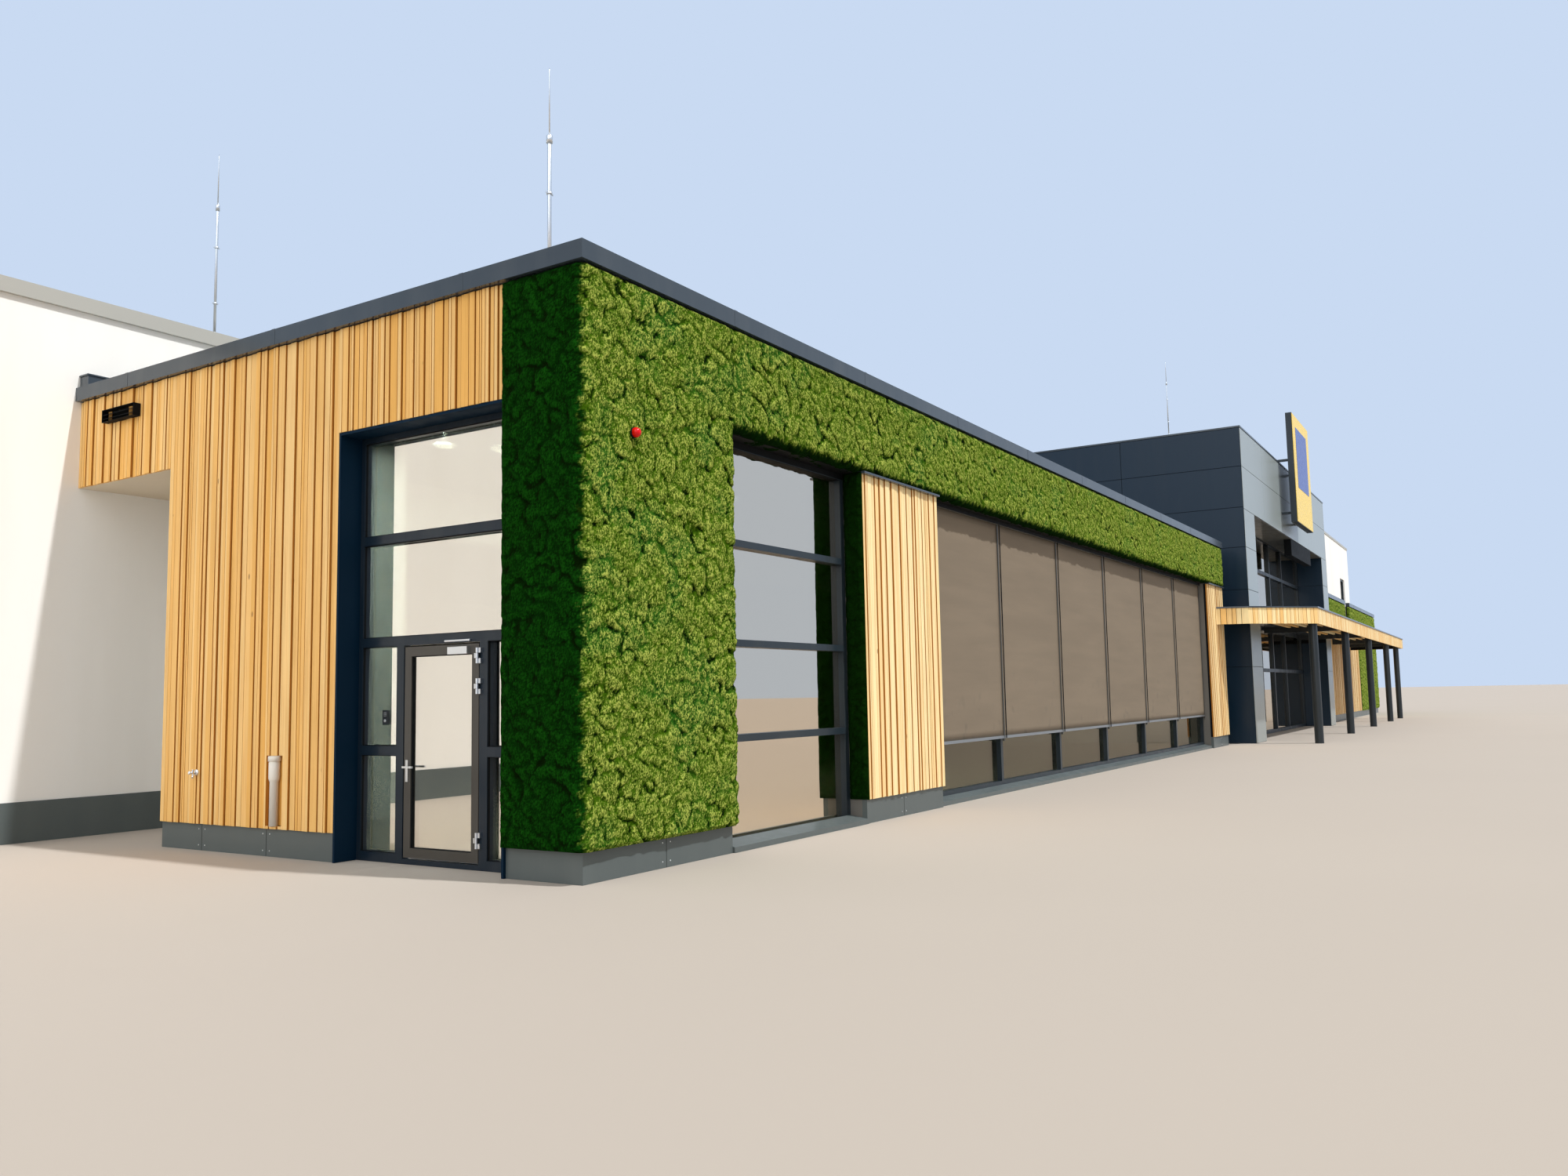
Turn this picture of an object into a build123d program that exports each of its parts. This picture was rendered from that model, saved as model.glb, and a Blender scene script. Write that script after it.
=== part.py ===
from build123d import *
import os

# Supermarket building at half size, in millimetres. Every length is half of the real one.
# Inside the script X runs along the long street front from the corner of the low wing,
# Y runs into the building from that front, and Z runs up from the ground.

# Street front of the wing, from the corner: moss, shop window, timber pier, screened windows, timber pier
CORNER_MOSS = 1180
WINDOW_WIDTH = 1495
PIER_WIDTH = 1150
SCREEN_PITCH = 1471
SCREEN_COUNT = 6
END_PIER_WIDTH = 945

# End front of the wing, from the corner: moss, door recess, timber, open passage
END_MOSS = 495
RECESS_WIDTH = 1225
END_TIMBER = 1580
PASSAGE_WIDTH = 1070
PASSAGE_LENGTH = 1300

# Heights of the wing and of the block beyond the tower
PLINTH_HEIGHT = 150
OPENING_HEIGHT = 2250
BAND_HEIGHT = 570
FASCIA_HEIGHT = 90
ROOF_DROP = 40
TOWER_ROOF_DROP = 75
UPPER_ROOF_DROP = 100
HALL_ROOF_DROP = 45

# Thicknesses
SKIN = 60
WALL = 140
ROOF_SLAB = 100
FLOOR = 25
CEILING = 30
MOSS_BULGE = 20
TIMBER_SET_BACK = 10
PLINTH_SET_BACK = 25
OVERHANG = 25

# Tower over the entrance
NOTCH = 555
TOWER_LEFT_PIER = 800
TOWER_RECESS = 7280
TOWER_RIGHT_PIER = 720
TOWER_FORWARD = 250
TOWER_WALL = 180
TOWER_HEIGHT = 4700
TOWER_COPING = 25
TOWER_OPENING = 3450
TOWER_GLAZING_Y = 220
TOWER_TRANSOMS = (1110, 1830, 2850)
TOWER_POSTS = (1060, 3950, 5270)
ENTRANCE_POST = 60
SOFFIT_SLAB = 120
BOARD_LEFT = 3475
BOARD_WIDTH = 2290
BOARD_DROP = 300
BOARD_THICKNESS = 120

# Block beyond the tower, and the white storey on it
RIGHT_LENGTH = 11975
RIGHT_MOSS = 4425
UPPER_LENGTH = 6800
UPPER_HEIGHT = 4400
STAIR_WINDOW_FROM_TOWER = 5025
STAIR_WINDOW_WIDTH = 825
STAIR_WINDOW_SILL = 1985
STAIR_WINDOW_HEAD = 3490
STAIR_WINDOW_DEPTH = 30

# Sales hall behind
HALL_LEFT = 4000
HALL_DEPTH = 14130
HALL_HEIGHT = 3525
HALL_WALL = 180
HALL_PLINTH = 250
PLINTH_JOINT = 1
COPING = 100
UPPER_COPING = 50
HALL_ROOF_SLAB = 160
HALL_OPENING_HEIGHT = 2250

# Windows and frames
FRAME_DEPTH = 40
FRAME_WIDTH = 45
GLASS = 10
GLAZING_Y = 145
SHOP_TRANSOMS = (585, 1110, 1670)
TRANSOM = 40
SILL = 40
STRIP_GLAZING_Y = 150
STRIP_SILL = 80

# Sun screens
SCREEN_Y = 130
FABRIC = 4
GUIDE = 18
SCREEN_BAR_Z = 430
SCREEN_BAR = 22
SCREEN_HEAD = 35
SCREEN_HEAD_DEPTH = 25

# Door recess and door
LINING = 15
DOOR_FACE_X = 145
DOOR_HINGE_SIDE = 800
LEAF_WIDTH = 536
LEAF_HEIGHT = 1065
LEAF_GAP = 5
LATCH_GAP = 9
THRESHOLD_GAP = 8
STILE = 48
LEAF_GLASS = 8
POST = 55
DOOR_TRANSOM_Z = 1108
UPPER_TRANSOM_Z = 1650
MIDDLE_RAIL_Z = 545
RAIL = 48
HINGE_OUT = 13
HINGE_RADIUS = 8
PIN_RADIUS = 3
KNUCKLE = 24
HINGE_HEIGHTS = (105, 850, 1000)
KNUCKLE_GAP = 2
HINGE_CARRIER = 22
HANDLE_RISE = 455
HANDLE_PLATE = 5
HANDLE_PLATE_WIDTH = 18
HANDLE_PLATE_BELOW = 75
HANDLE_PLATE_ABOVE = 35
HANDLE_REACH = 26
LEVER = 10
LEVER_LENGTH = 65
NECK_RADIUS = 4
CLOSER_FROM_HINGE = 62
CLOSER_LENGTH = 138
CLOSER_HEIGHT = 36
CLOSER_DEPTH = 22

# Canopy
CANOPY_START = 13150
CANOPY_END_FROM_TOWER = 5850
CANOPY_FRONT = 1165
CANOPY_SIDE_RUN = 150
CANOPY_SIDE_DEPTH = 390
CANOPY_CORNER_RUN = 1000
CORNER_MITRE = 0.45
CANOPY_BOTTOM = 1700
CANOPY_FASCIA = 225
CANOPY_CAP = 20
CANOPY_BOARD = 30
CANOPY_DECK = 60
BEAM_HEIGHT = 110
BEAM_WIDTH = 70
COLUMN_RADIUS = 60
COLUMN_SET_BACK = 95
COLUMN_PLACES = (150, 3900, 7600, 11250, 13800)

# Sign box on the tower
SIGN_FROM_TOWER = 3350
SIGN_WIDTH = 1790
SIGN_BOTTOM = 3625
SIGN_HEIGHT = 1910
SIGN_STAND_OFF = 160
SIGN_THICKNESS = 100
SIGN_FACE = 6
ARM = 40
ARM_INSET = 60
ARM_RISE = 150
SIGN_RIM = 10

# Lightning rods, each as place along X, place along Y, top height and radius
ROD_FOOT = 60
WING_ROD = (950, 1100, 4535, 13)
HALL_ROD = (1150, 4750, 5075, 10)
TOWER_ROD = (14700, 900, 6000, 8)
TOWER_FAR_ROD = (22300, 900, 5500, 8)
RIGHT_ROD = (31800, 1500, 4300, 8)

# Alarm light, vent box, water points and call unit
BEACON_X = 333
BEACON_Z = 2070
BEACON_RADIUS = 26
BEACON_BODY = 30
BEACON_DOME = 16
BEACON_DOME_RADIUS = 18
VENT_FROM_PASSAGE = 355
VENT_WIDTH = 365
VENT_DEPTH = 45
VENT_RISE = 375
VENT_HEIGHT = 80
TAP_FROM_RECESS = 1215
TAP_Z = 440
TAP_RADIUS = 8
TAP_REACH = 48
TAP_DROP = 26
PIPE_FROM_RECESS = 507
PIPE_Z = 170
PIPE_PLATE = 8
PIPE_PLATE_WIDTH = 114
PIPE_PLATE_HEIGHT = 370
PIPE_RADIUS = 14
PIPE_SUNK = 1.5
CALL_FROM_TIMBER = 173
CALL_WIDTH = 42
CALL_HEIGHT = 78
CALL_DEPTH = 12
CALL_Z = 700

# Positions worked out from the sizes above
WING_TOP = OPENING_HEIGHT + BAND_HEIGHT
FASCIA_TOP = WING_TOP + FASCIA_HEIGHT
INNER = SKIN + WALL
ROOF_TOP = WING_TOP - ROOF_DROP
ROOF_BOTTOM = ROOF_TOP - ROOF_SLAB
WINDOW_END = CORNER_MOSS + WINDOW_WIDTH
STRIP_START = WINDOW_END + PIER_WIDTH
STRIP_END = STRIP_START + SCREEN_COUNT * SCREEN_PITCH
WING_END = STRIP_END + END_PIER_WIDTH
RECESS_END = END_MOSS + RECESS_WIDTH
PASSAGE_START = RECESS_END + END_TIMBER
WING_DEPTH = PASSAGE_START + PASSAGE_WIDTH
TOWER_START = WING_END + NOTCH
TOWER_RECESS_START = TOWER_START + TOWER_LEFT_PIER
TOWER_RECESS_END = TOWER_RECESS_START + TOWER_RECESS
TOWER_END = TOWER_RECESS_END + TOWER_RIGHT_PIER
TOWER_BODY_TOP = TOWER_HEIGHT - TOWER_COPING
TOWER_ROOF_TOP = TOWER_BODY_TOP - TOWER_ROOF_DROP
TOWER_GLASS_BACK = TOWER_GLAZING_Y + FRAME_DEPTH + GLASS
RIGHT_END = TOWER_END + RIGHT_LENGTH
RIGHT_MOSS_START = RIGHT_END - RIGHT_MOSS
UPPER_END = TOWER_END + UPPER_LENGTH
UPPER_BODY_TOP = UPPER_HEIGHT - UPPER_COPING
UPPER_ROOF_TOP = UPPER_BODY_TOP - UPPER_ROOF_DROP
STAIR_START = TOWER_END + STAIR_WINDOW_FROM_TOWER
STAIR_END = STAIR_START + STAIR_WINDOW_WIDTH
HALL_BACK = WING_DEPTH + HALL_DEPTH
HALL_INNER_FRONT = WING_DEPTH + HALL_WALL
HALL_BODY_TOP = HALL_HEIGHT - COPING
HALL_ROOF_TOP = HALL_BODY_TOP - HALL_ROOF_DROP
CANOPY_END = TOWER_END + CANOPY_END_FROM_TOWER
LEAF_START = DOOR_HINGE_SIDE + LEAF_GAP
LEAF_END = LEAF_START + LEAF_WIDTH
LATCH_POST = LEAF_END + LATCH_GAP
LEAF_BOTTOM = FLOOR + THRESHOLD_GAP
LEAF_TOP = LEAF_BOTTOM + LEAF_HEIGHT
DOOR_BACK_X = DOOR_FACE_X + FRAME_DEPTH
HINGE_X = DOOR_FACE_X - HINGE_OUT
HINGE_Y = DOOR_HINGE_SIDE + LEAF_GAP / 2

# The frame's origin is at the middle of the building's outline, on the ground
LOW_X = -HALL_LEFT - OVERHANG
HIGH_X = RIGHT_END + OVERHANG
LOW_Y = -CANOPY_FRONT - OVERHANG / 2
HIGH_Y = HALL_BACK + OVERHANG
SHIFT = Location((-(LOW_X + HIGH_X) / 2, -(LOW_Y + HIGH_Y) / 2, 0))

os.makedirs("parts", exist_ok=True)


def block(x0, x1, y0, y1, z0, z1):
    """A square-edged solid between two corners."""
    return Pos((x0 + x1) / 2, (y0 + y1) / 2, (z0 + z1) / 2) * Box(x1 - x0, y1 - y0, z1 - z0)


def prism(points, z0, z1):
    """An upright solid over an outline in plan."""
    face = make_face(Polyline(*points, close=True))
    return Pos(0, 0, z0) * extrude(face, z1 - z0)


def rod(x, y, z0, z1, radius):
    """An upright round bar."""
    return Pos(x, y, (z0 + z1) / 2) * Cylinder(radius, z1 - z0)


def write(name, shape):
    """Save one piece in the building's own frame."""
    solids = [solid for solid in shape.solids()]
    placed = SHIFT * (Compound(children=solids) if len(solids) > 1 else solids[0])
    export_step(placed, f"parts/{name}.step")


def apart(*pieces):
    """Several solids of one node that don't touch."""
    solids = []
    for piece in pieces:
        solids.extend(piece.solids())
    return Compound(children=solids)


# Sales hall


def wide_openings():
    """Start and end along the front of each wide opening between the hall and the front rooms."""
    return [
        (INNER + PASSAGE_LENGTH + WALL, WING_END - WALL),
        (TOWER_START + TOWER_WALL, TOWER_END - TOWER_WALL),
        (TOWER_END, RIGHT_END - INNER),
    ]


def hall_front_wall():
    """Wall between the hall and the rooms in front of it, with three wide openings."""
    wall = block(-HALL_LEFT, RIGHT_END, WING_DEPTH, HALL_INNER_FRONT, 0, HALL_BODY_TOP)
    for x0, x1 in wide_openings():
        wall -= block(x0, x1, WING_DEPTH - 1, HALL_INNER_FRONT + 1, -1, HALL_OPENING_HEIGHT)
    return wall


def hall_side_wall(x0):
    return block(x0, x0 + HALL_WALL, HALL_INNER_FRONT, HALL_BACK - HALL_WALL, 0, HALL_BODY_TOP)


def hall_side_walls():
    return apart(hall_side_wall(-HALL_LEFT), hall_side_wall(RIGHT_END - HALL_WALL))


def hall_back_wall():
    return block(-HALL_LEFT, RIGHT_END, HALL_BACK - HALL_WALL, HALL_BACK, 0, HALL_BODY_TOP)


def hall_roof():
    return block(-HALL_LEFT + HALL_WALL, RIGHT_END - HALL_WALL, HALL_INNER_FRONT, HALL_BACK - HALL_WALL,
                 HALL_ROOF_TOP - HALL_ROOF_SLAB, HALL_ROOF_TOP)


def hall_coping():
    """Metal coping on the hall's four walls, broken where the tower and the white storey rise."""
    outer = block(-HALL_LEFT - OVERHANG, RIGHT_END + OVERHANG, WING_DEPTH - OVERHANG, HALL_BACK + OVERHANG,
                  HALL_BODY_TOP, HALL_HEIGHT)
    inner = block(-HALL_LEFT + HALL_WALL, RIGHT_END - HALL_WALL, HALL_INNER_FRONT, HALL_BACK - HALL_WALL,
                  HALL_BODY_TOP - 1, HALL_HEIGHT + 1)
    raised = block(TOWER_START, UPPER_END, WING_DEPTH - OVERHANG - 1, HALL_INNER_FRONT + 1,
                   HALL_BODY_TOP - 1, HALL_HEIGHT + 1)
    return outer - inner - raised


def ground_floor():
    """Floor slab of all rooms, inside the walls and through the wide openings."""
    hall = block(-HALL_LEFT + HALL_WALL, RIGHT_END - HALL_WALL, HALL_INNER_FRONT, HALL_BACK - HALL_WALL,
                 0, FLOOR)
    wing = block(INNER, WING_END - WALL, INNER, WING_DEPTH, 0, FLOOR)
    passage = block(INNER - 1, INNER + PASSAGE_LENGTH + WALL, PASSAGE_START - WALL, WING_DEPTH + 1,
                    -1, FLOOR + 1)
    tower = block(TOWER_START + TOWER_WALL, TOWER_END - TOWER_WALL, TOWER_GLASS_BACK, WING_DEPTH, 0, FLOOR)
    right = block(TOWER_END, RIGHT_END - INNER, INNER, WING_DEPTH, 0, FLOOR)
    floor = hall + (wing - passage) + tower + right
    for x0, x1 in wide_openings():
        floor += block(x0, x1, WING_DEPTH, HALL_INNER_FRONT, 0, FLOOR)
    return floor


# Low wing


def corner_wall():
    end = block(SKIN, INNER, SKIN, END_MOSS, 0, OPENING_HEIGHT)
    front = block(SKIN, CORNER_MOSS, SKIN, INNER, 0, OPENING_HEIGHT)
    return end + front


def end_wall():
    return block(SKIN, INNER, RECESS_END, PASSAGE_START, 0, OPENING_HEIGHT)


def wing_head_wall():
    """Wall above the openings, round the corner from the hall to the notch."""
    end = block(SKIN, INNER, SKIN, WING_DEPTH, OPENING_HEIGHT, WING_TOP)
    front = block(SKIN, WING_END, SKIN, INNER, OPENING_HEIGHT, WING_TOP)
    return end + front


def wing_piers():
    first = block(WINDOW_END, STRIP_START, SKIN, INNER, 0, OPENING_HEIGHT)
    last = block(STRIP_END, WING_END, SKIN, INNER, 0, OPENING_HEIGHT)
    return apart(first, last)


def wing_far_wall():
    return block(WING_END - WALL, WING_END, INNER, WING_DEPTH, 0, WING_TOP)


def passage_wall():
    side = block(INNER, INNER + PASSAGE_LENGTH + WALL, PASSAGE_START - WALL, PASSAGE_START, 0, ROOF_BOTTOM)
    back = block(INNER + PASSAGE_LENGTH, INNER + PASSAGE_LENGTH + WALL, PASSAGE_START, WING_DEPTH,
                 0, ROOF_BOTTOM)
    return side + back


def passage_ceiling():
    return block(INNER, INNER + PASSAGE_LENGTH, PASSAGE_START, WING_DEPTH, OPENING_HEIGHT,
                 OPENING_HEIGHT + CEILING)


def wing_roof():
    return block(INNER, WING_END - WALL, INNER, WING_DEPTH, ROOF_BOTTOM, ROOF_TOP)


def wing_fascia():
    """Metal roof edge on the wing's three free sides."""
    outer = block(-OVERHANG, WING_END + OVERHANG, -OVERHANG, WING_DEPTH, WING_TOP, FASCIA_TOP)
    inner = block(INNER, WING_END - WALL, INNER, WING_DEPTH + 1, WING_TOP - 1, FASCIA_TOP + 1)
    return outer - inner


def wing_moss():
    """Moss on the corner and in the band over the windows."""
    end = block(-MOSS_BULGE, SKIN, -MOSS_BULGE, END_MOSS, PLINTH_HEIGHT, WING_TOP)
    front = block(-MOSS_BULGE, CORNER_MOSS, -MOSS_BULGE, SKIN, PLINTH_HEIGHT, WING_TOP)
    band = block(-MOSS_BULGE, WING_END, -MOSS_BULGE, SKIN, OPENING_HEIGHT, WING_TOP)
    return end + front + band


def end_timber():
    """Timber boards on the wing's end, over the door recess and over the passage."""
    field = block(TIMBER_SET_BACK, SKIN, RECESS_END, PASSAGE_START, PLINTH_HEIGHT, WING_TOP)
    over = block(TIMBER_SET_BACK, SKIN, END_MOSS, WING_DEPTH, OPENING_HEIGHT, WING_TOP)
    return field + over


def pier_timber():
    first = block(WINDOW_END, STRIP_START, TIMBER_SET_BACK, SKIN, PLINTH_HEIGHT, OPENING_HEIGHT)
    last = block(STRIP_END, WING_END, TIMBER_SET_BACK, SKIN, PLINTH_HEIGHT, OPENING_HEIGHT)
    return apart(first, last)


def front_plinths():
    """Plinth panels under the moss and timber of the street front and of both ends."""
    corner = block(PLINTH_SET_BACK, SKIN, PLINTH_SET_BACK, END_MOSS, 0, PLINTH_HEIGHT)
    corner += block(PLINTH_SET_BACK, CORNER_MOSS, PLINTH_SET_BACK, SKIN, 0, PLINTH_HEIGHT)
    end = block(PLINTH_SET_BACK, SKIN, RECESS_END, PASSAGE_START, 0, PLINTH_HEIGHT)
    pier = block(WINDOW_END, STRIP_START, PLINTH_SET_BACK, SKIN, 0, PLINTH_HEIGHT)
    last = block(STRIP_END, WING_END, PLINTH_SET_BACK, SKIN, 0, PLINTH_HEIGHT)
    right = block(TOWER_END, RIGHT_END - PLINTH_SET_BACK, PLINTH_SET_BACK, SKIN, 0, PLINTH_HEIGHT)
    right += block(RIGHT_END - SKIN, RIGHT_END - PLINTH_SET_BACK, PLINTH_SET_BACK, WING_DEPTH,
                   0, PLINTH_HEIGHT)
    return apart(corner, end, pier, last, right)


def hall_plinths():
    """Dark plinth strips on the hall's free walls, butted with a fine joint at the corners."""
    out = OVERHANG / 2
    low, high = WING_DEPTH + PLINTH_JOINT, HALL_BACK - PLINTH_JOINT
    left = block(-HALL_LEFT - out, -HALL_LEFT, low, high, 0, HALL_PLINTH)
    back = block(-HALL_LEFT - out, RIGHT_END + out, HALL_BACK, HALL_BACK + out, 0, HALL_PLINTH)
    right = block(RIGHT_END, RIGHT_END + out, low, high, 0, HALL_PLINTH)
    front = block(-HALL_LEFT - out, INNER + PASSAGE_LENGTH, WING_DEPTH - out, WING_DEPTH, 0, HALL_PLINTH)
    return apart(left, back, right, front)


# Windows of the wing


def shop_window_frame():
    """Frame of the tall window beside the corner, with three cross bars and a sill."""
    y0, y1 = GLAZING_Y, GLAZING_Y + FRAME_DEPTH
    frame = block(CORNER_MOSS, WINDOW_END, y0, y1, 0, OPENING_HEIGHT)
    frame -= block(CORNER_MOSS + FRAME_WIDTH, WINDOW_END - FRAME_WIDTH, y0 - 1, y1 + 1, SILL,
                   OPENING_HEIGHT - FRAME_WIDTH)
    for z in SHOP_TRANSOMS:
        frame += block(CORNER_MOSS + FRAME_WIDTH, WINDOW_END - FRAME_WIDTH, y0, y1, z - TRANSOM / 2,
                       z + TRANSOM / 2)
    return frame


def strip_window_frame():
    """Frame of the windows behind the screens, one post at each screen guide."""
    y0, y1 = STRIP_GLAZING_Y, STRIP_GLAZING_Y + FRAME_DEPTH
    frame = block(STRIP_START, STRIP_END, y0, y1, 0, OPENING_HEIGHT)
    for bay in range(SCREEN_COUNT):
        left = STRIP_START + bay * SCREEN_PITCH + FRAME_WIDTH / 2
        right = left + SCREEN_PITCH - FRAME_WIDTH
        frame -= block(left, right, y0 - 1, y1 + 1, STRIP_SILL, OPENING_HEIGHT - FRAME_WIDTH)
    return frame


def wing_glass():
    """Glass of the shop window and of the screened windows, behind their frames."""
    shop_y = GLAZING_Y + FRAME_DEPTH
    strip_y = STRIP_GLAZING_Y + FRAME_DEPTH
    shop = block(CORNER_MOSS, WINDOW_END, shop_y, shop_y + GLASS, FLOOR, OPENING_HEIGHT)
    strip = block(STRIP_START, STRIP_END, strip_y, strip_y + GLASS, FLOOR, OPENING_HEIGHT)
    return apart(shop, strip)


def guide_x(index):
    """Middle of a screen guide; the outer two stand against the piers."""
    inset = GUIDE / 2 if index == 0 else -GUIDE / 2 if index == SCREEN_COUNT else 0
    return STRIP_START + index * SCREEN_PITCH + inset


def screen_guides():
    """Seven upright guide bars under the long casing that the screens roll up into."""
    half = GUIDE / 2
    rack = block(STRIP_START, STRIP_END, SCREEN_Y - SCREEN_HEAD_DEPTH, STRIP_GLAZING_Y,
                 OPENING_HEIGHT - SCREEN_HEAD, OPENING_HEIGHT)
    for index in range(SCREEN_COUNT + 1):
        x = guide_x(index)
        rack += block(x - half, x + half, SCREEN_Y - half, SCREEN_Y + half, SCREEN_BAR_Z - SCREEN_BAR,
                      OPENING_HEIGHT - SCREEN_HEAD)
    return rack


def screen_fields(y_half, z0, z1):
    fields = []
    for index in range(SCREEN_COUNT):
        left = guide_x(index) + GUIDE / 2
        right = guide_x(index + 1) - GUIDE / 2
        fields.append(block(left, right, SCREEN_Y - y_half, SCREEN_Y + y_half, z0, z1))
    return apart(*fields)


def sun_screens():
    """Six woven screens between the guides."""
    return screen_fields(FABRIC / 2, SCREEN_BAR_Z + SCREEN_BAR, OPENING_HEIGHT - SCREEN_HEAD)


def screen_bars():
    """Bottom bars of the six screens."""
    return screen_fields(SCREEN_BAR / 2, SCREEN_BAR_Z, SCREEN_BAR_Z + SCREEN_BAR)


# Door recess


def door_lining():
    """Metal panels on the recess sides and under its top, in front of the glazing."""
    y0, y1 = END_MOSS, RECESS_END
    lining = block(TIMBER_SET_BACK, DOOR_FACE_X, y0, y1, 0, OPENING_HEIGHT)
    return lining - block(TIMBER_SET_BACK - 1, DOOR_FACE_X + 1, y0 + LINING, y1 - LINING, -1,
                          OPENING_HEIGHT - LINING)


def door_frame():
    """Fixed frame: outer posts, door posts, rails, and the threshold under the leaf."""
    x0, x1 = DOOR_FACE_X, DOOR_BACK_X
    low, high = END_MOSS, RECESS_END
    hinge_post = DOOR_HINGE_SIDE - POST
    latch_back = LATCH_POST + POST
    frame = block(x0, x1, low, high, 0, OPENING_HEIGHT)
    openings = [
        (low + FRAME_WIDTH, high - FRAME_WIDTH, UPPER_TRANSOM_Z + RAIL, OPENING_HEIGHT - FRAME_WIDTH),
        (low + FRAME_WIDTH, high - FRAME_WIDTH, DOOR_TRANSOM_Z + RAIL, UPPER_TRANSOM_Z),
        (low + FRAME_WIDTH, hinge_post, MIDDLE_RAIL_Z + RAIL, DOOR_TRANSOM_Z),
        (low + FRAME_WIDTH, hinge_post, RAIL, MIDDLE_RAIL_Z),
        (latch_back, high - FRAME_WIDTH, MIDDLE_RAIL_Z + RAIL, DOOR_TRANSOM_Z),
        (latch_back, high - FRAME_WIDTH, RAIL, MIDDLE_RAIL_Z),
        (DOOR_HINGE_SIDE, LATCH_POST, FLOOR, DOOR_TRANSOM_Z),
    ]
    for y0, y1, z0, z1 in openings:
        frame -= block(x0 - 1, x1 + 1, y0, y1, z0, z1)
    return frame


def door_side_glass():
    """Fixed glass beside and over the door leaf, behind the frame."""
    x0, x1 = DOOR_BACK_X, DOOR_BACK_X + GLASS
    glass = block(x0, x1, END_MOSS, RECESS_END, FLOOR, OPENING_HEIGHT)
    return glass - block(x0 - 1, x1 + 1, DOOR_HINGE_SIDE - POST / 2, LATCH_POST + POST / 2, -1,
                         DOOR_TRANSOM_Z + RAIL / 2)


def door_leaf():
    leaf = block(DOOR_FACE_X, DOOR_BACK_X, LEAF_START, LEAF_END, LEAF_BOTTOM, LEAF_TOP)
    return leaf - block(DOOR_FACE_X - 1, DOOR_BACK_X + 1, LEAF_START + STILE, LEAF_END - STILE,
                        LEAF_BOTTOM + STILE, LEAF_TOP - STILE)


def door_leaf_glass():
    middle = (DOOR_FACE_X + DOOR_BACK_X) / 2
    return block(middle - LEAF_GLASS / 2, middle + LEAF_GLASS / 2, LEAF_START + STILE, LEAF_END - STILE,
                 LEAF_BOTTOM + STILE, LEAF_TOP - STILE)


def handle_side(face_x, out):
    """Plate, neck and lever on one side of the leaf; out is -1 for the street side."""
    y = LEAF_END - STILE / 2
    z = LEAF_BOTTOM + HANDLE_RISE
    bar = LEVER / 2
    plate_x = face_x + out * HANDLE_PLATE
    lever_x = face_x + out * HANDLE_REACH
    plate = block(min(face_x, plate_x), max(face_x, plate_x), y - HANDLE_PLATE_WIDTH / 2,
                  y + HANDLE_PLATE_WIDTH / 2, z - HANDLE_PLATE_BELOW, z + HANDLE_PLATE_ABOVE)
    neck = Pos((face_x + lever_x) / 2, y, z) * Rot(0, 90, 0) * Cylinder(NECK_RADIUS, HANDLE_REACH)
    lever = block(lever_x - bar, lever_x + bar, y - LEVER_LENGTH, y + bar, z - bar, z + bar)
    return plate + neck + lever


def door_fittings():
    """Lever handles on both sides, the closer's body, and the leaf's hinge knuckles."""
    closer = block(DOOR_FACE_X - CLOSER_DEPTH, DOOR_FACE_X, LEAF_START + CLOSER_FROM_HINGE,
                   LEAF_START + CLOSER_FROM_HINGE + CLOSER_LENGTH, LEAF_TOP - STILE,
                   LEAF_TOP - STILE + CLOSER_HEIGHT)
    return apart(handle_side(DOOR_FACE_X, -1), handle_side(DOOR_BACK_X, 1), closer, leaf_hinges())


def hinge_bore(z0, z1):
    return rod(HINGE_X, HINGE_Y, z0 - 1, z1 + 1, PIN_RADIUS + 1)


def hinge_knuckle(z0, y_side):
    """One round knuckle with the block that carries it."""
    z1 = z0 + KNUCKLE
    knuckle = rod(HINGE_X, HINGE_Y, z0, z1, HINGE_RADIUS)
    if y_side < 0:
        carrier = block(HINGE_X, DOOR_FACE_X, HINGE_Y - HINGE_CARRIER, HINGE_Y - LEAF_GAP / 2, z0, z1)
    else:
        carrier = block(HINGE_X, DOOR_FACE_X, HINGE_Y + LEAF_GAP / 2, HINGE_Y + HINGE_CARRIER, z0, z1)
    return knuckle + carrier


def fixed_hinges():
    """Outer knuckles on the post, joined by the pin."""
    hinges = []
    for z in HINGE_HEIGHTS:
        low = hinge_knuckle(z, -1)
        high = hinge_knuckle(z + 2 * KNUCKLE + 2 * KNUCKLE_GAP, -1)
        pin = rod(HINGE_X, HINGE_Y, z, z + 3 * KNUCKLE + 2 * KNUCKLE_GAP, PIN_RADIUS)
        hinges.append(low + high + pin)
    return apart(*hinges)


def leaf_hinges():
    """Middle knuckles on the leaf, bored for the pin."""
    hinges = []
    for z in HINGE_HEIGHTS:
        start = z + KNUCKLE + KNUCKLE_GAP
        hinges.append(hinge_knuckle(start, 1) - hinge_bore(start, start + KNUCKLE))
    return apart(*hinges)


# Tower


def tower_side(wall_x, return_x, inner_x):
    """Side wall and hollow front pier of the tower, as one angle in plan."""
    back = WING_DEPTH
    front = -TOWER_FORWARD
    low, high = min(wall_x, inner_x), max(wall_x, inner_x)
    side = min(wall_x, return_x), max(wall_x, return_x)
    sign = 1 if inner_x > wall_x else -1
    jamb = min(inner_x, inner_x - sign * TOWER_WALL), max(inner_x, inner_x - sign * TOWER_WALL)
    wall = block(side[0], side[1], front, back, 0, TOWER_BODY_TOP)
    face = block(low, high, front, front + TOWER_WALL, 0, TOWER_BODY_TOP)
    edge = block(jamb[0], jamb[1], front, TOWER_GLASS_BACK, 0, TOWER_BODY_TOP)
    return wall + face + edge


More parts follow.
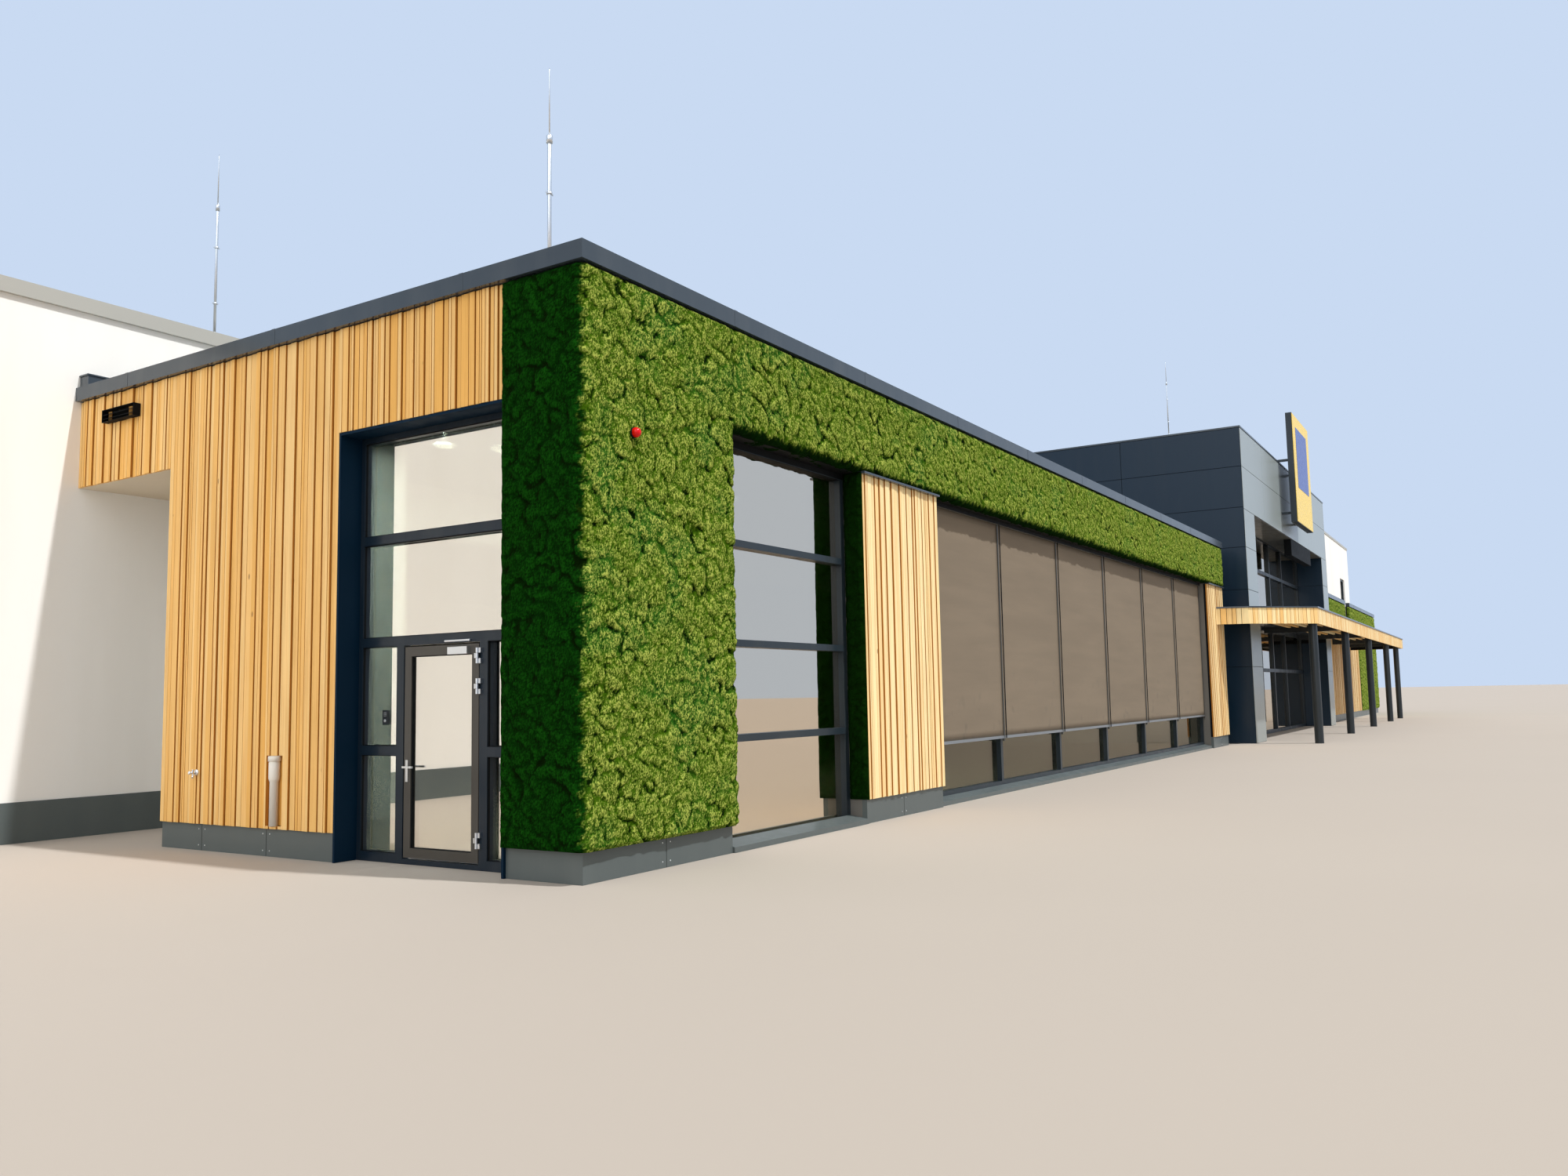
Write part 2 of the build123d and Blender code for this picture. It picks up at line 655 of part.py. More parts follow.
def tower_side_walls():
    left = tower_side(TOWER_START, TOWER_START + TOWER_WALL, TOWER_RECESS_START)
    right = tower_side(TOWER_END, TOWER_END - TOWER_WALL, TOWER_RECESS_END)
    return apart(left, right)


def tower_front_head():
    """Front over the entrance recess, its soffit, and the board that hangs in its middle."""
    front = block(TOWER_RECESS_START, TOWER_RECESS_END, -TOWER_FORWARD, -TOWER_FORWARD + TOWER_WALL,
                  TOWER_OPENING, TOWER_BODY_TOP)
    soffit = block(TOWER_RECESS_START, TOWER_RECESS_END, -TOWER_FORWARD, TOWER_GLASS_BACK,
                   TOWER_OPENING, TOWER_OPENING + SOFFIT_SLAB)
    board = block(TOWER_RECESS_START + BOARD_LEFT, TOWER_RECESS_START + BOARD_LEFT + BOARD_WIDTH,
                  -TOWER_FORWARD, -TOWER_FORWARD + BOARD_THICKNESS, TOWER_OPENING - BOARD_DROP,
                  TOWER_OPENING)
    return front + soffit + board


def tower_back_wall():
    return block(TOWER_START, TOWER_END, WING_DEPTH, HALL_INNER_FRONT, HALL_BODY_TOP, TOWER_BODY_TOP)


def tower_roof():
    """Roof slab between the tower's walls, cut round the jambs of its two piers."""
    z0, z1 = TOWER_ROOF_TOP - ROOF_SLAB, TOWER_ROOF_TOP
    front = -TOWER_FORWARD + TOWER_WALL
    roof = block(TOWER_START + TOWER_WALL, TOWER_END - TOWER_WALL, front, WING_DEPTH, z0, z1)
    roof -= block(TOWER_RECESS_START - TOWER_WALL, TOWER_RECESS_START, front - 1, TOWER_GLASS_BACK,
                  z0 - 1, z1 + 1)
    return roof - block(TOWER_RECESS_END, TOWER_RECESS_END + TOWER_WALL, front - 1, TOWER_GLASS_BACK,
                        z0 - 1, z1 + 1)


def tower_coping():
    out = OVERHANG / 2
    outer = block(TOWER_START - out, TOWER_END + out, -TOWER_FORWARD - out, HALL_INNER_FRONT + out,
                  TOWER_BODY_TOP, TOWER_HEIGHT)
    inner = block(TOWER_START + TOWER_WALL, TOWER_END - TOWER_WALL, -TOWER_FORWARD + TOWER_WALL,
                  WING_DEPTH, TOWER_BODY_TOP - 1, TOWER_HEIGHT + 1)
    return outer - inner


def tower_glazing_frame():
    """Entrance glazing: outer frame, three posts and three cross bars."""
    y0, y1 = TOWER_GLAZING_Y, TOWER_GLAZING_Y + FRAME_DEPTH
    half = ENTRANCE_POST / 2
    frame = block(TOWER_RECESS_START, TOWER_RECESS_END, y0, y1, 0, TOWER_OPENING)
    columns = [0, *TOWER_POSTS, TOWER_RECESS]
    rows = [FLOOR, *TOWER_TRANSOMS, TOWER_OPENING]
    for left, right in zip(columns, columns[1:]):
        for low, high in zip(rows, rows[1:]):
            frame -= block(TOWER_RECESS_START + left + half, TOWER_RECESS_START + right - half,
                           y0 - 1, y1 + 1, low + half, high - half)
    return frame


def tower_glass():
    y0 = TOWER_GLAZING_Y + FRAME_DEPTH
    return block(TOWER_RECESS_START, TOWER_RECESS_END, y0, y0 + GLASS, FLOOR, TOWER_OPENING)


# Sign box


def sign_box():
    """Flat upright box carried by four arms from the tower front."""
    x0 = TOWER_START + SIGN_FROM_TOWER
    x1 = x0 + SIGN_WIDTH
    back = -TOWER_FORWARD - SIGN_STAND_OFF
    box = block(x0, x1, back - SIGN_THICKNESS, back, SIGN_BOTTOM, SIGN_BOTTOM + SIGN_HEIGHT)
    arm_z = SIGN_BOTTOM + ARM_RISE
    for x in (x0 + ARM_INSET, x1 - ARM_INSET - ARM):
        box += block(x, x + ARM, back, -TOWER_FORWARD, arm_z, arm_z + ARM)
        box += block(x, x + ARM, back, -TOWER_FORWARD + TOWER_WALL, TOWER_HEIGHT, TOWER_HEIGHT + ARM)
    return box


def sign_face():
    x0 = TOWER_START + SIGN_FROM_TOWER
    front = -TOWER_FORWARD - SIGN_STAND_OFF - SIGN_THICKNESS
    return block(x0 + SIGN_RIM, x0 + SIGN_WIDTH - SIGN_RIM, front - SIGN_FACE, front,
                 SIGN_BOTTOM + SIGN_RIM, SIGN_BOTTOM + SIGN_HEIGHT - SIGN_RIM)


# Block beyond the tower


def stair_slot(y0, y1):
    return block(STAIR_START, STAIR_END, y0, y1, STAIR_WINDOW_SILL, STAIR_WINDOW_HEAD)


def right_walls():
    """Street wall and end wall of the low block beyond the tower."""
    front = block(TOWER_END, RIGHT_END - SKIN, SKIN, INNER, 0, WING_TOP)
    end = block(RIGHT_END - INNER, RIGHT_END - SKIN, SKIN, WING_DEPTH, 0, WING_TOP)
    return front + end - stair_slot(SKIN - 1, INNER + 1)


def upper_walls():
    """Street, end and rear walls of the white storey."""
    front = block(TOWER_END, UPPER_END, SKIN, INNER, WING_TOP, UPPER_BODY_TOP)
    end = block(UPPER_END - WALL, UPPER_END, SKIN, WING_DEPTH, WING_TOP, UPPER_BODY_TOP)
    end += block(UPPER_END - WALL, UPPER_END, INNER, WING_DEPTH, ROOF_TOP, WING_TOP)
    rear = block(TOWER_END, UPPER_END, WING_DEPTH, WING_DEPTH + WALL, HALL_BODY_TOP, UPPER_BODY_TOP)
    return front + end + rear - stair_slot(SKIN - 1, INNER + 1)


def right_roof():
    return block(TOWER_END, RIGHT_END - INNER, INNER, WING_DEPTH, ROOF_BOTTOM, ROOF_TOP)


def upper_roof():
    return block(TOWER_END, UPPER_END - WALL, INNER, WING_DEPTH, UPPER_ROOF_TOP - ROOF_SLAB,
                 UPPER_ROOF_TOP)


def upper_coping():
    out = OVERHANG / 2
    outer = block(TOWER_END + out, UPPER_END + out, SKIN - out, WING_DEPTH + WALL + out,
                  UPPER_BODY_TOP, UPPER_HEIGHT)
    inner = block(TOWER_END, UPPER_END - WALL, INNER, WING_DEPTH, UPPER_BODY_TOP - 1, UPPER_HEIGHT + 1)
    return outer - inner


def right_fascia():
    """Roof edge of the low block, in front of the white storey and round the far end."""
    front = block(TOWER_END, RIGHT_END + OVERHANG, -OVERHANG, SKIN, WING_TOP, FASCIA_TOP)
    front += block(UPPER_END, RIGHT_END + OVERHANG, SKIN, INNER, WING_TOP, FASCIA_TOP)
    end = block(RIGHT_END - INNER, RIGHT_END + OVERHANG, INNER, WING_DEPTH, WING_TOP, FASCIA_TOP)
    return front + end - stair_slot(-OVERHANG - 1, SKIN + 1)


def right_moss():
    field = block(RIGHT_MOSS_START, RIGHT_END + MOSS_BULGE, -MOSS_BULGE, SKIN, PLINTH_HEIGHT, WING_TOP)
    band = block(TOWER_END, RIGHT_MOSS_START, -MOSS_BULGE, SKIN, OPENING_HEIGHT, WING_TOP)
    end = block(RIGHT_END - SKIN, RIGHT_END + MOSS_BULGE, -MOSS_BULGE, END_MOSS, PLINTH_HEIGHT, WING_TOP)
    return field + band + end - stair_slot(-MOSS_BULGE - 1, SKIN + 1)


def right_timber():
    """Timber under the moss band beside the entrance, and on the far end."""
    front = block(TOWER_END, RIGHT_MOSS_START, TIMBER_SET_BACK, SKIN, PLINTH_HEIGHT, OPENING_HEIGHT)
    front -= stair_slot(TIMBER_SET_BACK - 1, SKIN + 1)
    end = block(RIGHT_END - SKIN, RIGHT_END - TIMBER_SET_BACK, END_MOSS, WING_DEPTH, PLINTH_HEIGHT,
                WING_TOP)
    return apart(front, end)


def stair_window_frame():
    y0 = SKIN + STAIR_WINDOW_DEPTH
    y1 = y0 + FRAME_DEPTH
    frame = block(STAIR_START, STAIR_END, y0, y1, STAIR_WINDOW_SILL, STAIR_WINDOW_HEAD)
    return frame - block(STAIR_START + FRAME_WIDTH, STAIR_END - FRAME_WIDTH, y0 - 1, y1 + 1,
                         STAIR_WINDOW_SILL + FRAME_WIDTH, STAIR_WINDOW_HEAD - FRAME_WIDTH)


def stair_window_glass():
    y0 = SKIN + STAIR_WINDOW_DEPTH + FRAME_DEPTH
    return block(STAIR_START, STAIR_END, y0, y0 + GLASS, STAIR_WINDOW_SILL, STAIR_WINDOW_HEAD)


# Canopy


def canopy_edge(inset):
    """Outer corners of the canopy from the wing round to its far end, set in by a distance."""
    return [
        (CANOPY_START + inset, TIMBER_SET_BACK),
        (CANOPY_START + CANOPY_SIDE_RUN + inset, -CANOPY_SIDE_DEPTH + inset * CORNER_MITRE),
        (CANOPY_START + CANOPY_CORNER_RUN + inset * CORNER_MITRE, -CANOPY_FRONT + inset),
        (CANOPY_END - inset, -CANOPY_FRONT + inset),
        (CANOPY_END - inset, TIMBER_SET_BACK),
    ]


def canopy_back():
    """Corners along the walls, from the far end back to the wing."""
    return [
        (TOWER_END, TIMBER_SET_BACK),
        (TOWER_END, -TOWER_FORWARD),
        (TOWER_RECESS_END, -TOWER_FORWARD),
        (TOWER_RECESS_END, TOWER_GLAZING_Y),
        (TOWER_RECESS_START, TOWER_GLAZING_Y),
        (TOWER_RECESS_START, -TOWER_FORWARD),
        (TOWER_START, -TOWER_FORWARD),
        (TOWER_START, TIMBER_SET_BACK),
    ]


def canopy_fascia():
    """Timber edge boards round the free sides."""
    top = CANOPY_BOTTOM + CANOPY_FASCIA
    outline = canopy_edge(0) + list(reversed(canopy_edge(CANOPY_BOARD)))
    return prism(outline, CANOPY_BOTTOM, top)


def canopy_roof():
    """Deck inside the edge boards, with a thin metal cap that stands a little proud of them."""
    top = CANOPY_BOTTOM + CANOPY_FASCIA
    deck = prism(canopy_edge(CANOPY_BOARD) + canopy_back(), top - CANOPY_DECK, top)
    return deck + prism(canopy_edge(-OVERHANG / 2) + canopy_back(), top, top + CANOPY_CAP)


def canopy_beams():
    """Front beam over the columns and cross beams back to the walls, under the deck."""
    z1 = CANOPY_BOTTOM + CANOPY_FASCIA - CANOPY_DECK
    z0 = z1 - BEAM_HEIGHT
    y = -CANOPY_FRONT + COLUMN_SET_BACK
    first = CANOPY_START + CANOPY_CORNER_RUN
    beams = block(first, CANOPY_END - CANOPY_BOARD, y - BEAM_WIDTH / 2, y + BEAM_WIDTH / 2, z0, z1)
    for place in COLUMN_PLACES:
        x = first + place
        inside = TOWER_RECESS_START < x < TOWER_RECESS_END
        back = TOWER_GLAZING_Y if inside else TIMBER_SET_BACK if x > TOWER_END else -TOWER_FORWARD
        beams += block(x - BEAM_WIDTH / 2, x + BEAM_WIDTH / 2, y, back, z0, z1)
    return beams


def canopy_columns():
    """Round posts under the front beam."""
    z1 = CANOPY_BOTTOM + CANOPY_FASCIA - CANOPY_DECK - BEAM_HEIGHT
    y = -CANOPY_FRONT + COLUMN_SET_BACK
    first = CANOPY_START + CANOPY_CORNER_RUN
    return apart(*[rod(first + place, y, 0, z1, COLUMN_RADIUS) for place in COLUMN_PLACES])


# Small fittings


def lightning_rod(place, roof):
    x, y, top, radius = place
    foot = block(x - ROD_FOOT, x + ROD_FOOT, y - ROD_FOOT, y + ROD_FOOT, roof, roof + ROD_FOOT)
    return foot + rod(x, y, roof, top, radius)


def lightning_rods():
    return apart(
        lightning_rod(WING_ROD, ROOF_TOP),
        lightning_rod(HALL_ROD, HALL_ROOF_TOP),
        lightning_rod(TOWER_ROD, TOWER_ROOF_TOP),
        lightning_rod(TOWER_FAR_ROD, TOWER_ROOF_TOP),
        lightning_rod(RIGHT_ROD, ROOF_TOP),
    )


def alarm_beacon():
    """Round alarm light on the moss near the corner."""
    body_y = -MOSS_BULGE - BEACON_BODY / 2
    dome_y = -MOSS_BULGE - BEACON_BODY - BEACON_DOME / 2
    body = Pos(BEACON_X, body_y, BEACON_Z) * Rot(90, 0, 0) * Cylinder(BEACON_RADIUS, BEACON_BODY)
    dome = Pos(BEACON_X, dome_y, BEACON_Z) * Rot(90, 0, 0) * Cylinder(BEACON_DOME_RADIUS, BEACON_DOME)
    return body + dome


def vent_box():
    """Flat box on the timber over the passage."""
    y0 = PASSAGE_START + VENT_FROM_PASSAGE
    z0 = OPENING_HEIGHT + VENT_RISE
    return block(TIMBER_SET_BACK - VENT_DEPTH, TIMBER_SET_BACK, y0, y0 + VENT_WIDTH, z0, z0 + VENT_HEIGHT)


def water_taps():
    """Garden tap and a standpipe on its back plate, on the end timber."""
    face = TIMBER_SET_BACK
    tap_y = RECESS_END + TAP_FROM_RECESS
    tap = Pos(face - TAP_REACH / 2, tap_y, TAP_Z) * Rot(0, 90, 0) * Cylinder(TAP_RADIUS, TAP_REACH)
    end = face - TAP_REACH
    half = TAP_RADIUS / 2
    tap += block(end - half, end + half, tap_y - half, tap_y + half, TAP_Z - TAP_DROP, TAP_Z + TAP_DROP / 2)
    pipe_y = RECESS_END + PIPE_FROM_RECESS
    pipe = block(face - PIPE_PLATE, face, pipe_y - PIPE_PLATE_WIDTH / 2, pipe_y + PIPE_PLATE_WIDTH / 2,
                 PIPE_Z, PIPE_Z + PIPE_PLATE_HEIGHT)
    pipe += rod(face - PIPE_PLATE - PIPE_RADIUS + PIPE_SUNK, pipe_y, PIPE_Z + PIPE_RADIUS,
                PIPE_Z + PIPE_PLATE_HEIGHT - PIPE_RADIUS, PIPE_RADIUS)
    return apart(tap, pipe)


def call_box():
    """Small call unit on the glass beside the door."""
    y0 = RECESS_END - CALL_FROM_TIMBER
    return block(DOOR_BACK_X - CALL_DEPTH, DOOR_BACK_X, y0 - CALL_WIDTH, y0, CALL_Z, CALL_Z + CALL_HEIGHT)


# Nodes made of several solids that don't touch


def wing_walls():
    """Upright walls of the wing's two fronts, between the openings."""
    return apart(corner_wall(), end_wall(), wing_piers())


def wing_inner_walls():
    """Wall beside the passage, and the wing's far end in the notch."""
    return apart(passage_wall(), wing_far_wall())


def flat_roofs():
    """Roof slabs of hall, wing, tower, low block and white storey."""
    return apart(hall_roof(), wing_roof(), tower_roof(), right_roof(), upper_roof())


def plinths():
    return apart(front_plinths(), hall_plinths())


def roof_fascia():
    return apart(wing_fascia(), right_fascia())


def roof_coping():
    return apart(hall_coping(), upper_coping())


def front_timber():
    """Timber of the street front's piers, beside the entrance, and of the far end."""
    return apart(pier_timber(), right_timber())


def window_frames():
    return apart(shop_window_frame(), strip_window_frame(), stair_window_frame())


def fixed_glass():
    """All glass that doesn't move."""
    return apart(wing_glass(), door_side_glass(), tower_glass(), stair_window_glass())


PIECES = {
    "hall_front_wall": hall_front_wall,
    "hall_side_walls": hall_side_walls,
    "hall_back_wall": hall_back_wall,
    "flat_roofs": flat_roofs,
    "plinths": plinths,
    "roof_coping": roof_coping,
    "ground_floor": ground_floor,
    "wing_walls": wing_walls,
    "wing_head_wall": wing_head_wall,
    "wing_inner_walls": wing_inner_walls,
    "passage_ceiling": passage_ceiling,
    "roof_fascia": roof_fascia,
    "wing_moss": wing_moss,
    "right_moss": right_moss,
    "end_timber": end_timber,
    "front_timber": front_timber,
    "window_frames": window_frames,
    "fixed_glass": fixed_glass,
    "screen_guides": screen_guides,
    "sun_screens": sun_screens,
    "screen_bars": screen_bars,
    "door_lining": door_lining,
    "door_frame": door_frame,
    "door_leaf": door_leaf,
    "door_leaf_glass": door_leaf_glass,
    "door_fittings": door_fittings,
    "fixed_hinges": fixed_hinges,
    "tower_side_walls": tower_side_walls,
    "tower_front_head": tower_front_head,
    "tower_back_wall": tower_back_wall,
    "tower_coping": tower_coping,
    "tower_glazing_frame": tower_glazing_frame,
    "sign_box": sign_box,
    "sign_face": sign_face,
    "right_walls": right_walls,
    "upper_walls": upper_walls,
    "canopy_fascia": canopy_fascia,
    "canopy_roof": canopy_roof,
    "canopy_beams": canopy_beams,
    "canopy_columns": canopy_columns,
    "lightning_rods": lightning_rods,
    "alarm_beacon": alarm_beacon,
    "vent_box": vent_box,
    "water_taps": water_taps,
    "call_box": call_box,
}

for name, make in PIECES.items():
    write(name, make())
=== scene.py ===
"""Supermarket building at half size: moss walls, larch boards, glazing, sun screens, tower and canopy.

Sizes are metres of the model, half of the real ones, unless a name says otherwise.
"""

import functools
import math
import random

import bpy
import numpy as np
from mathutils import Matrix, Vector


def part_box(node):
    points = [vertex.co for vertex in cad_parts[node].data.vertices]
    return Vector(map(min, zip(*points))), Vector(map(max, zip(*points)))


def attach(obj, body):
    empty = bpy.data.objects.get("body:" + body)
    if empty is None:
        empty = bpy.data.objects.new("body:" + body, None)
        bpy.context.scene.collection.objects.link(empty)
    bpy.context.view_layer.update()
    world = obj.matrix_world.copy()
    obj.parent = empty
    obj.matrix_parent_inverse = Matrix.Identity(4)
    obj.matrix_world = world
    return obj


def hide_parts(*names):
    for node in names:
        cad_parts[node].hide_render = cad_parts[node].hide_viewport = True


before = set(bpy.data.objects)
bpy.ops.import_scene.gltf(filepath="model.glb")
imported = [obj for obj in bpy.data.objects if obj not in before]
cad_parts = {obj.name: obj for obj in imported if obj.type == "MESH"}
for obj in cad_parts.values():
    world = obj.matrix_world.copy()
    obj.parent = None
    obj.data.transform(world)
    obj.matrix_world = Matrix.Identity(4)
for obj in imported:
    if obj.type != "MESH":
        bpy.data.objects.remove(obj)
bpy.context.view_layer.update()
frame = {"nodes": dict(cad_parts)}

bl_info = {
    "name": "Supermarket Building",
    "version": (1, 0, 0),
    "blender": (4, 5, 0),
    "location": "3D View > Sidebar > Building",
    "description": "Dresses the supermarket building with its claddings, glazing and fittings",
    "category": "Object",
}

# Places read from the frame: low and high corners of its nodes

MOSS, LINING, PASSAGE, HEAD_WALL, FASCIA, PIERS = map(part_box, (
    "wing_moss", "door_lining", "passage_ceiling", "wing_head_wall", "roof_fascia", "front_timber"))
WINDOWS, SCREENS, FABRIC, DOOR_FRAME, LEAF, LEAF_GLASS = map(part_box, (
    "window_frames", "screen_guides", "sun_screens", "door_frame", "door_leaf", "door_leaf_glass"))
TOWER, TOWER_HEAD, TOWER_FRAME, TOWER_BACK, SIGN, CANOPY, CANOPY_TOP = map(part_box, (
    "tower_side_walls", "tower_front_head", "tower_glazing_frame", "tower_back_wall", "sign_face",
    "canopy_fascia", "canopy_roof"))

# Depth of the claddings, of the foil behind the boards and of the shop window
SKIN, BACKING, GLAZING_DEPTH = 0.060, 0.042, 0.145
CORNER_X, FRONT_Y = HEAD_WALL[0].x - SKIN, HEAD_WALL[0].y - SKIN
PLINTH_TOP, BAND_BOTTOM, BAND_TOP = MOSS[0].z, PASSAGE[0].z, MOSS[1].z
MOSS_END_Y, RECESS_END_Y = LINING[0].y, LINING[1].y
PASSAGE_Y, HALL_Y = PASSAGE[0].y, PASSAGE[1].y
WINDOW_X, PIER_X, WING_END = WINDOWS[0].x, PIERS[0].x, MOSS[1].x
STRIP_X, STRIP_END_X, SCREEN_Y = SCREENS[0].x, SCREENS[1].x, SCREENS[0].y
TOWER_END_X, STAIR_END_X = TOWER[1].x, WINDOWS[1].x
STAIR_X, STAIR_SILL, STAIR_HEAD = STAIR_END_X - 0.825, 1.985, 3.490
RIGHT_END_X = FASCIA[1].x - 0.025
RIGHT_MOSS_X = RIGHT_END_X - 4.425
SCREEN_COUNT, GUIDE = 6, 0.018
SCREEN_PITCH = (STRIP_END_X - STRIP_X) / SCREEN_COUNT

# Reach of the widest look round a place of the moss, and the closed sides of a sheet of it: both ends of
# its path, low and high
RELIEF_REACH = 0.026
ALL_RIMS = (True, True, True, True)


def linear(code):
    """Linear RGBA of an sRGB hex colour."""
    values = [int(code[i:i + 2], 16) / 255 for i in (0, 2, 4)]
    return (*[v / 12.92 if v <= 0.04045 else ((v + 0.055) / 1.055) ** 2.4 for v in values], 1.0)


# Settings that a user would change


def length(name, description, default):
    """A length property in metres."""
    return bpy.props.FloatProperty(name=name, description=description, default=default, unit="LENGTH")


def strength(name, description, default):
    """A property for the strength of a light."""
    return bpy.props.FloatProperty(name=name, description=description, default=default)


def colour(name, description, code):
    """A colour property from an sRGB hex value."""
    return bpy.props.FloatVectorProperty(
        name=name, description=description, default=linear(code), subtype="COLOR", size=4, min=0, max=1)


class MossSettings(bpy.types.PropertyGroup):
    cushion: length("Cushion", "Usual width of one cushion of moss", 0.110)
    thickness: length("Thickness", "How far the thickest cushions stand out", 0.036)
    corner: length("Corner", "How far the moss is rounded at a corner", 0.033)
    near_cell: length("Near grid", "Grid width of the moss beside the corner", 0.0056)
    band_cell: length("Band grid", "Grid width of the moss over the windows", 0.0105)
    far_cell: length("Far grid", "Grid width of the moss beyond the tower", 0.020)
    # The tips' colour is partly their own paler growth and partly a painted highlight on raised places
    tips: colour("Tips", "Colour of the tips", "AEBA56")
    body: colour("Body", "Colour of the cushions", "4D740F")
    fresh: colour("Fresh", "Colour of the greener patches", "35701C")
    # Painted shade: the colour laid into the hollows and creases between cushions
    hollow: colour("Hollows", "Colour between the cushions", "091A02")
    # Painted shade: the near-black green of the moss on the sides that get no sun, with its tips
    painted_shade_colour: colour("Shade side", "Colour of the damp moss that gets no sun", "022B04")
    painted_shade_tips: colour("Shade side tips", "Colour of the tips on the damp moss", "084E0A")


class TimberSettings(bpy.types.PropertyGroup):
    gap: length("Gap", "Gap between two groups of boards", 0.0065)
    seam: length("Seam", "Seam between two boards of a group", 0.003)
    thickness: length("Thickness", "Thickness of a board", 0.020)
    light: colour("Light larch", "Palest boards", "FFEDB8")
    golden: colour("Golden larch", "Usual boards", "EDB45A")
    grain: colour("Late wood", "Dark lines of the grain", "D69440")
    # The sawn edges' colour is painted shade on the sides of the boards
    edge: colour("Sawn edges", "Sides of the boards in the gaps", "BC7C2E")


class MetalSettings(bpy.types.PropertyGroup):
    # Painted light: the side panels' dark navy is painted shade and the front panels' pale grey a painted
    # highlight, lit and shaded copies of one coat
    panel: colour("Side panels", "Panels on the tower's sides", "042133")
    front_panel: colour("Front panels", "Panels on the tower's street front", "939C9B")
    roof_edge: colour("Roof edges", "Roof edge metal", "39424A")
    plinth: colour("Plinth", "Plinth panels", "586060")
    frame: colour("Frames", "Window frames", "222C33")
    guide: colour("Guides", "Guides of the sun screens", "55544F")
    surround: colour("Door surround", "Fixed frame round the glass door", "101E2A")
    post: colour("Posts", "Canopy posts and beams", "23292D")
    # The lining's near-black navy is partly its own dark coat and partly painted shade of the recess
    lining: colour("Lining", "Panels in the door recess", "021F33")
    soffit: colour("Tower soffit", "Panels over the entrance", "6A675E")
    door: colour("Door", "Frame of the glass door", "45423D")
    coping: colour("Coping", "Coping of the white walls", "B4B3AC")
    panel_gap: length("Panel gap", "Joint between two tower panels", 0.006)


class WallSettings(bpy.types.PropertyGroup):
    render: colour("Render", "Mineral render of the hall", "FBFAF6")
    membrane: colour("Roofing", "Roof membrane", "8E9292")
    # The soffit's cream is a painted warm light, as from the lit floor below
    soffit: colour("Soffit", "Underside of the passage", "E3D5BE")
    floor: colour("Floor tiles", "Tiles inside", "A89C8C")
    concrete: colour("Concrete", "Bare wall behind the claddings", "77746E")


class GlassSettings(bpy.types.PropertyGroup):
    tint: colour("Tint", "What the shop glass lets through", "B9C7BF")
    clear: colour("Clear tint", "What the glass at the door lets through", "DCEBE6")
    shine: colour("Reflection", "Colour of the reflection", "FFF0DC")


class ScreenSettings(bpy.types.PropertyGroup):
    fabric: colour("Fabric", "Woven screen fabric", "827564")
    bar: colour("Bars", "Bottom bars", "A9ADAF")
    wave: length("Wave", "How far the hanging fabric strays from flat", 0.0015)


class SignSettings(bpy.types.PropertyGroup):
    face: colour("Face", "Plain face of the sign box", "FFD83F")
    field: colour("Field", "Plain field on the face", "3B52A4")


class StageSettings(bpy.types.PropertyGroup):
    floor: colour("Floor", "Plain pale floor", "B5ABA0")
    backdrop: colour("Backdrop", "Plain pale backdrop", "C9DAF2")
    sun: strength("Key light", "Strength of the soft key light", 3.0)
    side: strength("Side light", "Strength of the broad light from the left", 1.4)
    fill: strength("Fill light", "Strength of the light all round", 0.42)
    rooms: strength("Room light", "Power per square metre of ceiling", 20.0)


SETTINGS = {
    "building_moss": MossSettings, "building_timber": TimberSettings, "building_metal": MetalSettings,
    "building_walls": WallSettings, "building_glass": GlassSettings, "building_screens": ScreenSettings,
    "building_sign": SignSettings, "building_stage": StageSettings,
}

# Meshes


